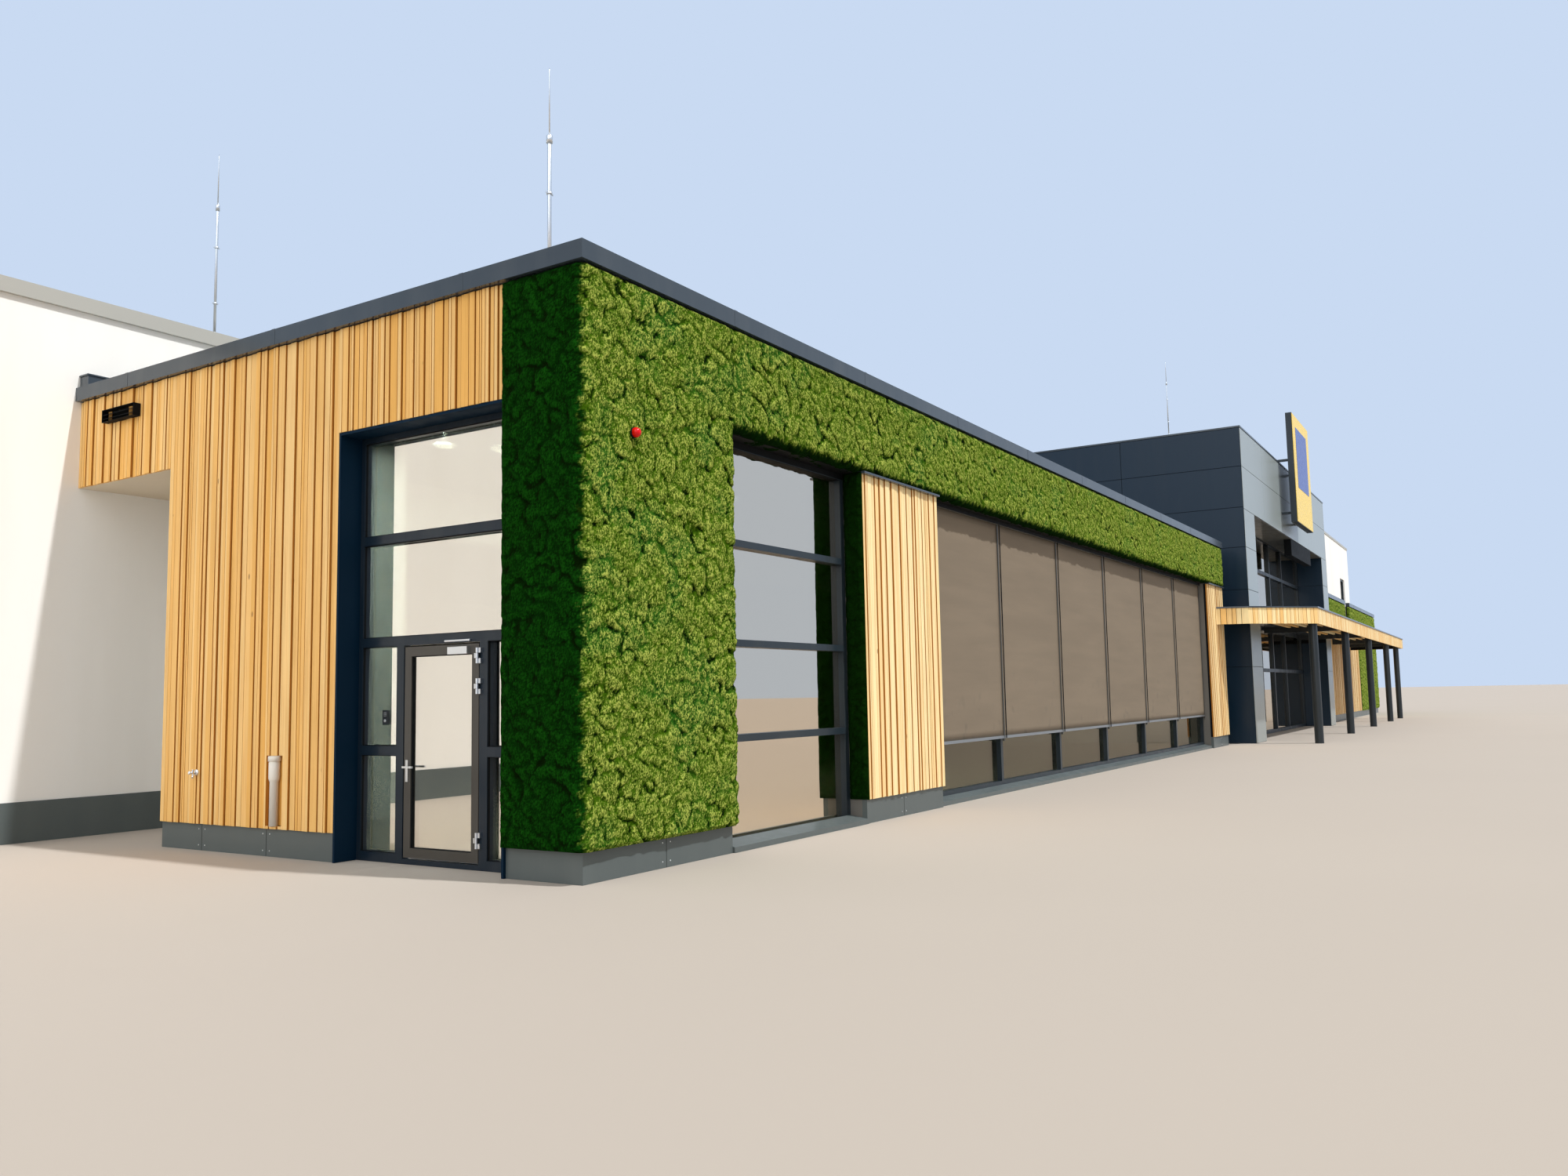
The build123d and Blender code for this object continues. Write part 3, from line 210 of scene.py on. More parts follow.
class Shape:
    """Points and faces of a mesh that is being put together, with one tone per point."""

    def __init__(self):
        self.points, self.faces, self.tones, self.round = [], [], [], []

    def add(self, points, faces, tone=0.5, smooth=False):
        start = len(self.points)
        self.points.extend(points)
        self.faces.extend([start + i for i in face] for face in faces)
        self.tones.extend([tone] * len(points))
        self.round.extend([smooth] * len(faces))

    def block(self, low, high, edge=0.0015, tone=0.5, sides=None):
        """A box between two corners, edges taken off; sides is an axis whose two faces get tone -1, which the
        larch paints as shade.
        """
        edge = min(edge, min(b - a for a, b in zip(low, high)) * 0.4)
        points = []
        for corner in range(8):
            side = [corner >> a & 1 for a in range(3)]
            for full in range(3):
                points.append([
                    (high[a] if side[a] else low[a]) + (0 if a == full else -edge if side[a] else edge)
                    for a in range(3)])
        faces = []
        for a in range(3):
            b, c = (a + 1) % 3, (a + 2) % 3
            for s in (0, 1):
                ring = [((s << a) + side) * 3 + a for side in (0, 1 << b, (1 << b) + (1 << c), 1 << c)]
                faces.append(ring if s else ring[::-1])
            for i, j in ((0, 0), (0, 1), (1, 0), (1, 1)):
                near = ((i << b) + (j << c)) * 3
                far = near + (1 << a) * 3
                ring = [near + b, far + b, far + c, near + c]
                faces.append(ring[::-1] if i == j else ring)
        for corner in range(8):
            ring = [corner * 3, corner * 3 + 1, corner * 3 + 2]
            faces.append(ring if bin(corner).count("1") % 2 else ring[::-1])
        self.add(points, faces, tone)
        if sides is not None:
            self.tones[-24 + sides::3] = [-1.0] * 8

    def turned(self, centre, profile, sides=20, toward=(0, 0, 1)):
        """A round body from (radius, distance) pairs along a direction, closed at both ends."""
        turn = Vector((0, 0, 1)).rotation_difference(Vector(toward)).to_matrix()
        angles = [2 * math.pi * i / sides for i in range(sides)]
        circle = [(math.cos(angle), math.sin(angle)) for angle in angles]
        points = [Vector(centre) + turn @ Vector((radius * x, radius * y, height))
                  for radius, height in profile for x, y in circle]
        last = (len(profile) - 1) * sides
        faces = [[row + i, row + (i + 1) % sides, row + (i + 1) % sides + sides, row + i + sides]
                 for row in range(0, last, sides) for i in range(sides)]
        self.add(points, faces + [range(sides)[::-1], range(last, last + sides)], smooth=True)
        self.round[-2:] = [False, False]

    def prism(self, outline, low, high, axes=(0, 1, 2), tone=0.5):
        """A closed prism over an outline given in the first two axes, from low to high along the third."""
        count = len(outline)
        places = [dict(zip(axes, (p, q, level))) for level in (low, high) for p, q in outline]
        area = sum(a[0] * b[1] - b[0] * a[1] for a, b in zip(outline, outline[1:] + outline[:1]))
        if (axes[1] - axes[0]) % 3 == 2:
            area = -area
        faces = [range(count)[::-1], range(count, 2 * count)]
        faces += [[i, (i + 1) % count, count + (i + 1) % count, count + i] for i in range(count)]
        if area < 0:
            faces = [face[::-1] for face in faces]
        self.add([[place[a] for a in range(3)] for place in places], faces, tone)

    def strip(self, start, end, across, low, high, tone=0.5):
        """An upright prism between a line and its copy moved across."""
        corners = (start, end, end + across, start + across)
        self.prism([(corner.x, corner.y) for corner in corners], low, high, tone=tone)

    def make(self, name, finish, body="building", replaces=()):
        """The finished object, riding on its body."""
        mesh = bpy.data.meshes.new(name)
        mesh.from_pydata(self.points, [], self.faces)
        mesh.polygons.foreach_set("use_smooth", self.round)
        mesh.attributes.new("tone", "FLOAT", "POINT").data.foreach_set("value", self.tones)
        return settle(name, mesh, finish, body, replaces)


def blocks(name, finish, corners, edge=0.0015, body="building", replaces=()):
    """One piece made of blocks, each between two corners."""
    shape = Shape()
    for low, high in corners:
        shape.block(low, high, edge)
    return shape.make(name, finish, body, replaces)


def settle(name, mesh, finish, body="building", replaces=()):
    """Link a mesh as a piece: material, body, and the frame's nodes that it stands for."""
    mesh.materials.append(bpy.data.materials[finish])
    mesh.update()
    piece = bpy.data.objects.new(name, mesh)
    bpy.context.scene.collection.objects.link(piece)
    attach(piece, body)
    if replaces:
        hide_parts(*replaces)
    return piece


def quads(index):
    """Faces between the neighbours in a grid of point numbers."""
    corners = index[:-1, :-1], index[1:, :-1], index[1:, 1:], index[:-1, 1:]
    return np.stack(corners, axis=-1).reshape(-1, 4)


def new_mesh(name, points, faces, flat):
    """A smooth mesh, apart from its last faces, which are flat."""
    mesh = bpy.data.meshes.new(name)
    mesh.from_pydata(points.reshape(-1, 3).tolist(), [], faces)
    mesh.polygons.foreach_set("use_smooth", [True] * (len(faces) - flat) + [False] * flat)
    return mesh


def scatter(x, y, seed):
    """A fixed number from 0 to 1 for each place on a grid."""
    wave = np.sin(x * 127.1 + y * 311.7 + seed * 74.7) * 43758.5453
    return wave - np.floor(wave)


def drift(x, y, seed):
    """Smooth noise from 0 to 1 over a unit grid."""
    cell_x, cell_y = np.floor(x), np.floor(y)
    part_x, part_y = ramp(x - cell_x, 0, 1), ramp(y - cell_y, 0, 1)
    low, high = (
        scatter(cell_x, level, seed) * (1 - part_x) + scatter(cell_x + 1, level, seed) * part_x
        for level in (cell_y, cell_y + 1))
    return low * (1 - part_y) + high * part_y


def ramp(values, low, high):
    """Smooth step from 0 at low to 1 at high, either way round."""
    share = np.clip((values - low) / (high - low), 0, 1)
    return share * share * (3 - 2 * share)


def tufts(across, up, width, fall, seed):
    """Height and tone of overlapping tufts that hang: full and steep below, thin above."""
    across, up = across / width, up / fall
    cell_x, cell_y = np.floor(across), np.floor(up)
    height, tone = np.zeros(across.shape), np.zeros(across.shape)
    for x, y in ((cell_x + i, cell_y + j) for i in (-1, 0, 1) for j in (-1, 0, 1)):
        radius = 0.60 + 0.45 * scatter(x, y, seed + 2)
        side = (across - x - 0.1 - 0.8 * scatter(x, y, seed)) / radius
        rise = (up - y - 0.1 - 0.8 * scatter(x, y, seed + 1)) / radius
        inside = np.clip(1 - side ** 2 - np.where(rise < 0, rise * 1.3, rise * 0.8) ** 2, 0, 1)
        level = 0.65 + 0.35 * scatter(x, y, seed + 3)
        tuft = level * inside ** (0.85 + 0.4 * np.clip(rise * 2, -1, 1))
        tone = np.where(tuft > height, scatter(x, y, seed + 4), tone)
        # A high power mean keeps the creases between tufts sharp
        height = (height ** 18 + tuft ** 18) ** (1 / 18)
    return np.minimum(height, 1.0), tone


def soften(values, reach):
    """Mean of the values within a square around each place."""
    width = 2 * reach + 1
    for axis in (0, 1):
        pads = [(0, 0), (0, 0)]
        pads[axis] = (reach + 1, reach)
        total = np.cumsum(np.pad(values, pads, mode="edge"), axis=axis)
        count = values.shape[axis]
        high = np.take(total, range(width, width + count), axis=axis)
        values = (high - np.take(total, range(count), axis=axis)) / width
    return values


def moss_height(across, up, cell, settings):
    """Height from 0 to 1, and at each place the moss's painted shade in its hollows, its tips, tone and
    patch.
    """
    size, lean = settings.cushion, math.radians(33)
    leaning = across * math.cos(lean) - up * math.sin(lean)
    rising = across * math.sin(lean) + up * math.cos(lean)
    bend_x, bend_y = (
        (drift(across / size * 1.4, up / size * 1.4, seed) - 0.5) * size * 0.9 for seed in (11, 12))
    ragged_x, ragged_y = (
        (drift(across / 0.012, up / 0.015, seed) - 0.5) * reach
        for seed, reach in ((13, 0.011), (14, 0.012)))
    (cushion, tone), (clump, clump_tone) = (
        tufts(leaning + bend_x * bend + ragged_x, rising + bend_y * bend + ragged_y,
              size * width, size * fall, seed)
        for bend, width, fall, seed in ((1, 1.15, 0.85, 3), (0.5, 0.50, 0.42, 21)))
    tuft, tuft_tone = tufts(across + ragged_x * 0.4, up + ragged_y * 0.4, 0.0105, 0.016, 41)
    leaf = scatter(np.round(across / cell), np.round(up / cell), 51)
    height = 0.52 * cushion + 0.26 * clump + 0.13 * tuft + 0.09 * leaf
    # Where a place lies below the mean height round it, shade is painted into the hollows and creases
    near, wide = max(1, round(0.008 / cell)), max(2, round(RELIEF_REACH / cell))
    relief = (soften(height, near) - height) * 2.0 + (soften(height, wide) - height) * 3.4
    low = ramp(0.7 * cushion + 0.3 * clump, 0.42, 0.14)
    broken = 0.35 + 0.9 * ramp(drift(across / 0.035, up / 0.035, 63), 0.35, 0.65)
    patch = drift(across / 0.5, up / 0.4, 61) * 0.4 + drift(across / 0.13, up / 0.12, 62) * 0.6
    return height, {
        "hollow": np.clip(0.05 + (relief * 1.7 + 0.6 * low) * broken, 0, 1),
        # Tips: paler on raised places, partly their own colour and partly a painted highlight
        "tips": np.clip(0.32 - relief * 1.8 - 0.3 * low + 0.4 * (leaf - 0.5), 0, 1),
        "tone": 0.5 * tone + 0.3 * clump_tone + 0.2 * tuft_tone,
        "patch": patch,
    }


def path_samples(path, cell, radius):
    """Points along a path of right angles, rounded at corners, their outward directions and their runs."""
    samples = []
    run = 0.0
    for number, (start, end) in enumerate(zip(path, path[1:])):
        start, end = Vector(start), Vector(end)
        part = (end - start).length
        along = (end - start) / part
        outward = Vector((along.y, -along.x))
        turns = number < len(path) - 2
        first, last = radius if number else 0.0, radius if turns else 0.0
        count = max(2, round((part - first - last) / cell))
        for i in range(count + 1):
            at = first + (part - first - last) * i / count
            samples.append((start + along * at, outward, run + at))
        steps = max(3, round(radius * 1.6 / cell)) if turns else 0
        centre = end - (along + outward) * radius
        for i in range(1, steps):
            angle = math.pi / 2 * i / steps
            turned = outward * math.cos(angle) + along * math.sin(angle)
            samples.append((centre + turned * radius, turned, run + part + radius * (2 * i / steps - 1)))
        run += part
    return (np.array(column) for column in zip(*samples))


def moss_sheet(name, path, low, high, cell, settings, upright=True, start_run=0.0, depth=0.045,
               shaded=(), extra_painted_shade=0.0, rims=ALL_RIMS, replaces=()):
    """Moss over a path drawn in plan and run upwards, or drawn from the side and run along the front.

    The outward side is to the right of the path's direction. The mesh is closed at the back and rims.
    """
    base, outward, runs = path_samples(path, cell, settings.corner)
    rows = max(2, round((high - low) / cell)) + 1
    # Rows beyond both ends are worked out and dropped, so that neighbours match at a seam
    spare = round(RELIEF_REACH / cell) + 2
    levels = low + (high - low) / (rows - 1) * np.arange(-spare, rows + spare)
    run_grid, level_grid = np.meshgrid(runs + start_run, levels, indexing="ij")
    across, up = (run_grid, level_grid) if upright else (level_grid - CORNER_X, path[0][1] - run_grid)
    height, values = moss_height(across, up, cell, settings)
    # Painted shade: along the shaded stretches of run the shade attribute rises to 1, and the moss is painted
    # near-black green there
    shade = np.zeros_like(height)
    fringe = (drift(across / 0.009, up / 0.007, 71) + drift(across / 0.02, up / 0.03, 72) - 1.0) * 0.022
    for begin, end in shaded:
        inside = ramp(run_grid + fringe, begin - 0.02, begin + 0.005)
        shade = np.maximum(shade, inside * (1 - ramp(run_grid + fringe, end - 0.008, end + 0.012)))
    # Painted shade: shaded stretches take at least this share of the hollows' near-black colour
    values["hollow"] = np.maximum(values["hollow"], shade * extra_painted_shade)
    values["shade"] = shade
    rim = np.ones_like(height)
    whole, border = slice(None), 3
    for i in range(border):
        places = ((i, whole), (-1 - i, whole), (whole, spare + i), (whole, -1 - spare - i))
        for wanted, place in zip(rims, places):
            if wanted:
                rim[place] = np.minimum(rim[place], 0.35 + 0.65 * i / border)

    def placed(plane, level):
        """Points from their place across the path's plane and their level."""
        level = np.broadcast_to(level, plane.shape[:-1])[..., None]
        return np.concatenate([plane, level] if upright else [level, plane], axis=-1)

    stand = (height * rim * settings.thickness)[..., None]
    front = placed(base[:, None] + outward[:, None] * stand, level_grid)
    kept = slice(spare, -spare)
    back = (base - outward * depth)[:, None]
    points = np.concatenate([placed(back, low), front[:, kept], placed(back, high)], axis=1)
    index = np.arange(points[..., 0].size).reshape(points.shape[:2])
    faces = quads(np.column_stack([index, index[:, 0]])).tolist()
    mesh = new_mesh(name, points, faces + [index[0].tolist(), index[-1, ::-1].tolist()], flat=2)
    normals = np.cross(np.gradient(front, axis=0), np.gradient(front, axis=1))[:, kept]
    normals /= np.linalg.norm(normals, axis=-1, keepdims=True)
    # Zero at the points of the back leaves their normals as they are
    ends = ((0, 0), (1, 1))
    mesh.normals_split_custom_set_from_vertices(np.pad(normals, (*ends, (0, 0))).reshape(-1, 3).tolist())
    for label, grid in values.items():
        attribute = mesh.attributes.new(label, "FLOAT", "POINT")
        attribute.data.foreach_set("value", np.pad(grid[:, kept], ends).ravel().astype(np.float32))
    return settle(name, mesh, "preserved_moss", replaces=replaces)


def board_layout(run, rng, settings, least=0.030, most=0.066):
    """Board starts, ends and depths that fill a run of wall, in groups of one or two with a gap between."""
    layout = []
    at = depth = 0.0
    while at < run - 1e-6:
        width = rng.uniform(least, most)
        if run - at - width < least:
            width = run - at
        depth = rng.choice([step for step in (0.0, 0.003, 0.006, 0.009) if step != depth])
        end = at + width - (settings.gap if at + width < run - 1e-6 else 0)
        if width > 1.3 * least and rng.random() < 0.62:
            middle = at + (end - at) * rng.uniform(0.35, 0.65)
            layout.append((at, middle - settings.seam / 2, depth))
            layout.append((middle + settings.seam / 2, end, depth + rng.choice((0.0, 0.001, 0.003))))
        else:
            layout.append((at, end, depth))
        at += width
    return layout


def boards(shape, start, direction, outward, run, bottom, top, rng, settings, tones=(0.0, 0.4), hole=None):
    """Upright boards along a wall line, at several depths, left out where a hole is."""
    for begin, end, depth in board_layout(run, rng, settings):
        tone = rng.uniform(*tones)
        stretches = [(bottom, top)]
        if hole and begin < hole[1] and end > hole[0]:
            stretches = [(bottom, hole[2]), (hole[3], top)]
        near = start + direction * begin - outward * depth
        far = start + direction * end - outward * (depth + settings.thickness)
        (x0, x1), (y0, y1) = sorted((near.x, far.x)), sorted((near.y, far.y))
        for low, high in stretches:
            shape.block((x0, y0, low), (x1, y1, high), 0.0010, tone, sides=0 if direction.x else 1)


# Materials. Inputs by number are a range's value, its two ends and the two ends that it is carried to, or
# a mix's share and, at 6 and 7, its colours

RGBA = {"out": 2, "data_type": "RGBA"}


def join(node, inputs):
    """Link or set a node's inputs."""
    for name, value in inputs.items():
        if isinstance(value, bpy.types.NodeSocket):
            node.id_data.links.new(value, node.inputs[name])
        else:
            node.inputs[name].default_value = value


def add_node(tree, kind, inputs=None, out=0, **settings):
    """Add a node with its settings, link or set its inputs, and give one of its outputs."""
    node = tree.nodes.new("ShaderNode" + kind)
    for name, value in settings.items():
        setattr(node, name, value)
    join(node, inputs or {})
    return node.outputs[out] if len(node.outputs) else node


def new_material(name, **constants):
    """What adds a material's nodes, its shader with constants on its own sockets, and its coordinates."""
    material = bpy.data.materials.new(name)
    material.use_nodes = True
    material.node_tree.nodes.clear()
    add = functools.partial(add_node, material.node_tree)
    surface = add("BsdfPrincipled", {key.replace("_", " "): value for key, value in constants.items()})
    add("OutputMaterial", {"Surface": surface})
    return add, surface.node, add("TexCoord", out="Object")


def per_metre(millimetres):
    """Pattern scale, in cells per metre, from a size in millimetres."""
    return 1000 / millimetres


def darker(base, share):
    """A colour that keeps this share of its light."""
    return tuple(value * share for value in base[:3]) + (1.0,)


def mottled(add, place, first, second, millimetres, detail, stretch=None, spread=None):
    """A cloudy pattern, drawn out upwards if it has a stretch, and the mix of two colours that it gives."""
    if stretch:
        place = add("VectorMath", {0: place, 1: (1.0, 1.0, stretch)}, operation="MULTIPLY")
    pattern = add("TexNoise", {"Vector": place, "Scale": per_metre(millimetres), "Detail": detail})
    share = add("MapRange", {0: pattern, **spread}) if spread else pattern
    return pattern, add("Mix", {0: share, 6: first, 7: second}, **RGBA)


def rough_skin(add, place, millimetres, detail, strength, distance):
    """A fine cloudy pattern raised on the surface."""
    grain = add("TexNoise", {"Vector": place, "Scale": per_metre(millimetres), "Detail": detail})
    return add("Bump", {"Strength": strength, "Distance": distance, "Height": grain})


def preserved_moss(settings):
    """Preserved cushion moss, dyed and glued in clumps: olive tips, partly a painted highlight, over
    near-black painted shade in the hollows, no shine.
    """
    add, shader, place = new_material("preserved_moss", Roughness=0.95, Specular_IOR_Level=0.02)
    hollow, tips, tone, patch, shade = (
        add("Attribute", out="Fac", attribute_name=name)
        for name in ("hollow", "tips", "tone", "patch", "shade"))
    # Moss leaves are 1 to 3 mm; they are drawn about 8 mm wide and 15 mm long, so that they show
    hang = add("VectorMath", {0: place, 1: (1.0, 1.0, 0.55)}, operation="MULTIPLY")
    leaf = add("TexNoise", {"Vector": hang, "Scale": per_metre(8), "Detail": 4.0, "Roughness": 0.75})
    patched = add("MapRange", {0: patch, 1: 0.48, 2: 0.75})
    green = add("Mix", {0: patched, 6: settings.body, 7: settings.fresh}, **RGBA)
    toned = add("MapRange", {0: tone, 3: 0.45, 4: 1.15})
    leafy = add("MapRange", {0: leaf, 1: 0.42, 2: 0.62, 3: 0.0, 4: 2.4})
    raised = add("Math", {0: tips, 1: toned}, operation="MULTIPLY")
    spread = add("Math", {0: raised, 1: leafy}, operation="MULTIPLY", use_clamp=True)
    tipped = add("Mix", {0: spread, 6: green, 7: settings.tips}, **RGBA)
    # Where the shade attribute is set, the colour is a painted shade, near-black green with lighter tips
    shade_painted = add("Math", {0: shade, 1: 0.99}, operation="MULTIPLY")
    sunless = add("Mix", {0: raised, 6: settings.painted_shade_colour, 7: settings.painted_shade_tips}, **RGBA)
    sided = add("Mix", {0: shade_painted, 6: tipped, 7: sunless}, **RGBA)
    # Gaps between leaves get the same painted shade as the hollows between cushions
    gaps = add("MapRange", {0: leaf, 1: 0.38, 2: 0.54, 3: 0.8, 4: 0.0})
    dark = add("Math", {0: hollow, 1: gaps}, operation="MAXIMUM")
    shaded = add("Mix", {0: dark, 6: sided, 7: settings.hollow}, **RGBA)
    bump = add("Bump", {"Strength": 1.0, "Distance": 0.007, "Height": leaf})
    join(shader, {"Base Color": shaded, "Normal": bump})


def oiled_larch(settings):
    """Larch boards, planed and oiled: golden, with fine upright grain, and no two boards alike."""
    add, shader, place = new_material("oiled_larch", Roughness=0.55, Specular_IOR_Level=0.35)
    tone = add("Attribute", out="Fac", attribute_name="tone")
    shifted = add("CombineXYZ", {"X": tone, "Y": tone, "Z": tone})
    apart = add("VectorMath", {0: shifted, 1: (7.0, 13.0, 29.0)}, operation="MULTIPLY")
    moved = add("VectorMath", {0: place, 1: apart}, operation="ADD")
    # Year rings are 2 to 4 mm apart and run 0.5 m along a board; knots are 6 to 15 mm wide and 0.4 m apart
    rings, clouds, knots = (
        add("VectorMath", {0: moved, 1: (1.0, 1.0, share)}, operation="MULTIPLY")
        for share in (0.010, 0.12, 0.45))
    grain = add("TexNoise", {"Vector": rings, "Scale": per_metre(5), "Detail": 3.0})
    wide = add("TexNoise", {"Vector": clouds, "Scale": per_metre(70), "Detail": 2.0})
    knot = add("TexVoronoi", {"Vector": knots, "Scale": per_metre(150)}, out="Distance")
    board = add("Mix", {0: tone, 6: settings.golden, 7: settings.light}, **RGBA)
    lines = add("MapRange", {0: grain, 1: 0.50, 2: 0.72, 4: 0.6})
    grained = add("Mix", {0: lines, 6: board, 7: settings.grain}, **RGBA)
    soft = add("MapRange", {0: wide, 1: 0.3, 2: 0.7, 3: 0.92, 4: 1.03})
    warm = add("CombineXYZ", {"X": soft, "Y": soft, "Z": soft})
    cloudy = add("Mix", {0: 1.0, 6: grained, 7: warm}, blend_type="MULTIPLY", **RGBA)
    knotty = add("MapRange", {0: knot, 1: 0.035, 2: 0.06, 3: 0.65, 4: 0.0})
    knotted = add("Mix", {0: knotty, 6: cloudy, 7: linear("7A4A22")}, **RGBA)
    # The sides of the boards, which have the tone -1, get painted shade
    side_shade = add("MapRange", {0: tone, 1: -0.1, 2: -0.6, 3: 0.0, 4: 1.0})
    side_shaded = add("Mix", {0: side_shade, 6: knotted, 7: settings.edge}, **RGBA)
    bump = add("Bump", {"Strength": 0.25, "Distance": 0.0008, "Height": grain})
    join(shader, {"Base Color": side_shaded, "Normal": bump})


def coated_metal(name, base, roughness=0.42, gloss=0.2, coat_roughness=0.1, dust_share=0.06, specular=0.3):
    """Powder-coated aluminium sheet: baked satin skin, dark head-on, pale at a slant, dusty in streaks."""
    add, shader, place = new_material(
        name, Roughness=roughness, IOR=1.5, Specular_IOR_Level=specular * (1.0 - gloss),
        Coat_Weight=gloss, Coat_Roughness=coat_roughness)
    dust, dulled = mottled(
        add, place, base, linear("A7A79F"), 160, 4.0, 0.15, {1: 0.45, 2: 0.9, 3: 0.0, 4: dust_share})
    uneven = add("MapRange", {0: dust, 1: 0.3, 2: 0.7, 3: roughness - 0.07, 4: roughness + 0.12})
    # The coat's own grain is under 1 mm; it is drawn at 5 mm, very flat
    bump = rough_skin(add, place, 5, 2.0, 0.05, 0.0004)
    join(shader, {"Base Color": dulled, "Roughness": uneven, "Normal": bump})


def brushed_metal(name, base, roughness=0.34):
    """Anodised or stainless metal with a fine upright brush: bright, with soft broad highlights."""
    add, shader, place = new_material(name, Metallic=1.0, Roughness=roughness)
    brush, streaky = mottled(add, place, darker(base, 0.86), base, 2, 3.0, 0.05)
    uneven = add("MapRange", {0: brush, 3: roughness - 0.1, 4: roughness + 0.1})
    join(shader, {"Base Color": streaky, "Roughness": uneven})


def mineral_render(name, base):
    """Mineral render, rubbed with a float: white, matt, a 2 mm grain and the faintest weather streaks."""
    add, shader, place = new_material(name, Roughness=0.9, Specular_IOR_Level=0.25)
    _, stained = mottled(add, place, base, linear("CFCBC0"), 420, 5.0, 0.12, {1: 0.45, 2: 0.9, 4: 0.22})
    # The grain is 1 mm at half size; it is drawn at 6 mm, so that it shows
    join(shader, {"Base Color": stained, "Normal": rough_skin(add, place, 6, 3.0, 0.18, 0.0015)})


def seamed_membrane(name, base, seam=0.75):
    """Plastic roof membrane, rolled out in lengths and welded: grey, matt, with a lap every 0.75 m."""
    add, shader, place = new_material(name, Roughness=0.75)
    _, worn = mottled(add, place, base, linear("6F7270"), 900, 5.0, spread={1: 0.4, 2: 0.75, 4: 0.35})
    along = add("SeparateXYZ", {0: place}, out="X")
    lap = add("Math", {0: along, 1: seam}, operation="FLOORED_MODULO")
    edge = add("MapRange", {0: lap, 1: 0.02, 2: 0.03, 3: 1.0, 4: 0.0})
    lapped = add("Mix", {0: edge, 6: worn, 7: linear("A3A6A5")}, **RGBA)
    bump = add("Bump", {"Strength": 0.5, "Distance": 0.003, "Height": edge})
    join(shader, {"Base Color": lapped, "Normal": bump})


def floor_tiles(name, base):
    """Stoneware floor tiles, pressed and fired: 0.3 m squares with pale joints."""
    add, shader, place = new_material(name, Roughness=0.35)
    tiles = add(
        "TexBrick", {
            "Vector": place, "Color1": base, "Color2": darker(base, 0.9), "Mortar": linear("C9C3B8"),
            "Scale": 1.0, "Mortar Size": 0.004, "Brick Width": 0.3, "Row Height": 0.3},
        out="Color", offset=0.0)
    join(shader, {"Base Color": tiles})


def cast_concrete(name, base):
    """Concrete cast in boards: grey, matt, cloudy, with small pores."""
    add, shader, place = new_material(name, Roughness=0.85)
    _, cloudy = mottled(add, place, darker(base, 0.6), base, 300, 6.0)
    join(shader, {"Base Color": cloudy, "Normal": rough_skin(add, place, 8, 2.0, 0.3, 0.001)})


def coated_glass(name, tint, shine, least, most=0.95):
    """Sun-control float glass with a metal-oxide coat: mirrors its surroundings, more so at a slant."""
    add, shader, place = new_material(name, Metallic=1.0, Roughness=0.015, Base_Color=shine)
    # Heat-treated panes ripple by a hair's breadth over about half a metre
    join(shader, {"Normal": rough_skin(add, place, 420, 1.0, 0.012, 0.004)})
    clear = add("BsdfTransparent", {"Color": tint})
    slant = add("LayerWeight", {"Blend": 0.35}, out="Fresnel")
    share = add("MapRange", {0: slant, 3: least, 4: most})
    mirror = add("MixShader", {0: share, 1: clear, 2: shader.outputs[0]})
    join(shader.id_data.get_output_node("ALL"), {"Surface": mirror})


def woven_screen(fabric):
    """Glass-fibre yarn in a plastic coat, woven into screen cloth: taupe, matt, with faint cross bands."""
    add, shader, place = new_material("woven_screen", Roughness=0.75, Specular_IOR_Level=0.25)
    across, height = (add("SeparateXYZ", {0: place}, out=axis) for axis in "XZ")
    # Yarns are 0.3 mm apart; the weave is drawn with 5 mm cells, so that it shows
    turns = 2 * math.pi * per_metre(5)
    warp, weft = (add("Math", {0: way, 1: turns}, operation="MULTIPLY") for way in (across, height))
    warp, weft = (add("Math", {0: way}, operation="SINE") for way in (warp, weft))
    weave = add("Math", {0: warp, 1: weft}, operation="MULTIPLY")
    flat = add("VectorMath", {0: place, 1: (0.12, 0.12, 1.0)}, operation="MULTIPLY")
    _, banded = mottled(add, flat, fabric, darker(fabric, 0.76), 110, 4.0, spread={1: 0.3, 2: 0.7, 4: 0.5})
    # Splash marks fade out between 0.5 and 1.1 m above the ground
    low = add("MapRange", {0: height, 1: 0.5, 2: 1.1, 3: 1.0, 4: 0.0})
    spots = add("TexNoise", {"Vector": place, "Scale": per_metre(120), "Detail": 5.0})
    spotted = add("MapRange", {0: spots, 1: 0.6, 2: 0.72, 4: 0.35})
    splashed = add("Math", {0: low, 1: spotted}, operation="MULTIPLY")
    stained = add("Mix", {0: splashed, 6: banded, 7: linear("5A534C")}, **RGBA)
    bump = add("Bump", {"Strength": 0.2, "Distance": 0.0006, "Height": weave})
    join(shader, {"Base Color": stained, "Normal": bump})


def moulded_plastic(name, base, roughness=0.25, glow=0.0, specular=0.5):
    """Moulded or extruded plastic sheet: even colour, smooth, a little scuffed."""
    add, shader, place = new_material(
        name, Roughness=roughness, IOR=1.49, Specular_IOR_Level=specular, Emission_Color=base,
        Emission_Strength=glow)
    scuff, worn = mottled(add, place, base, darker(base, 0.97), 60, 6.0)
    uneven = add("MapRange", {0: scuff, 1: 0.35, 2: 0.75, 3: roughness, 4: roughness + 0.08})
    join(shader, {"Base Color": worn, "Roughness": uneven})


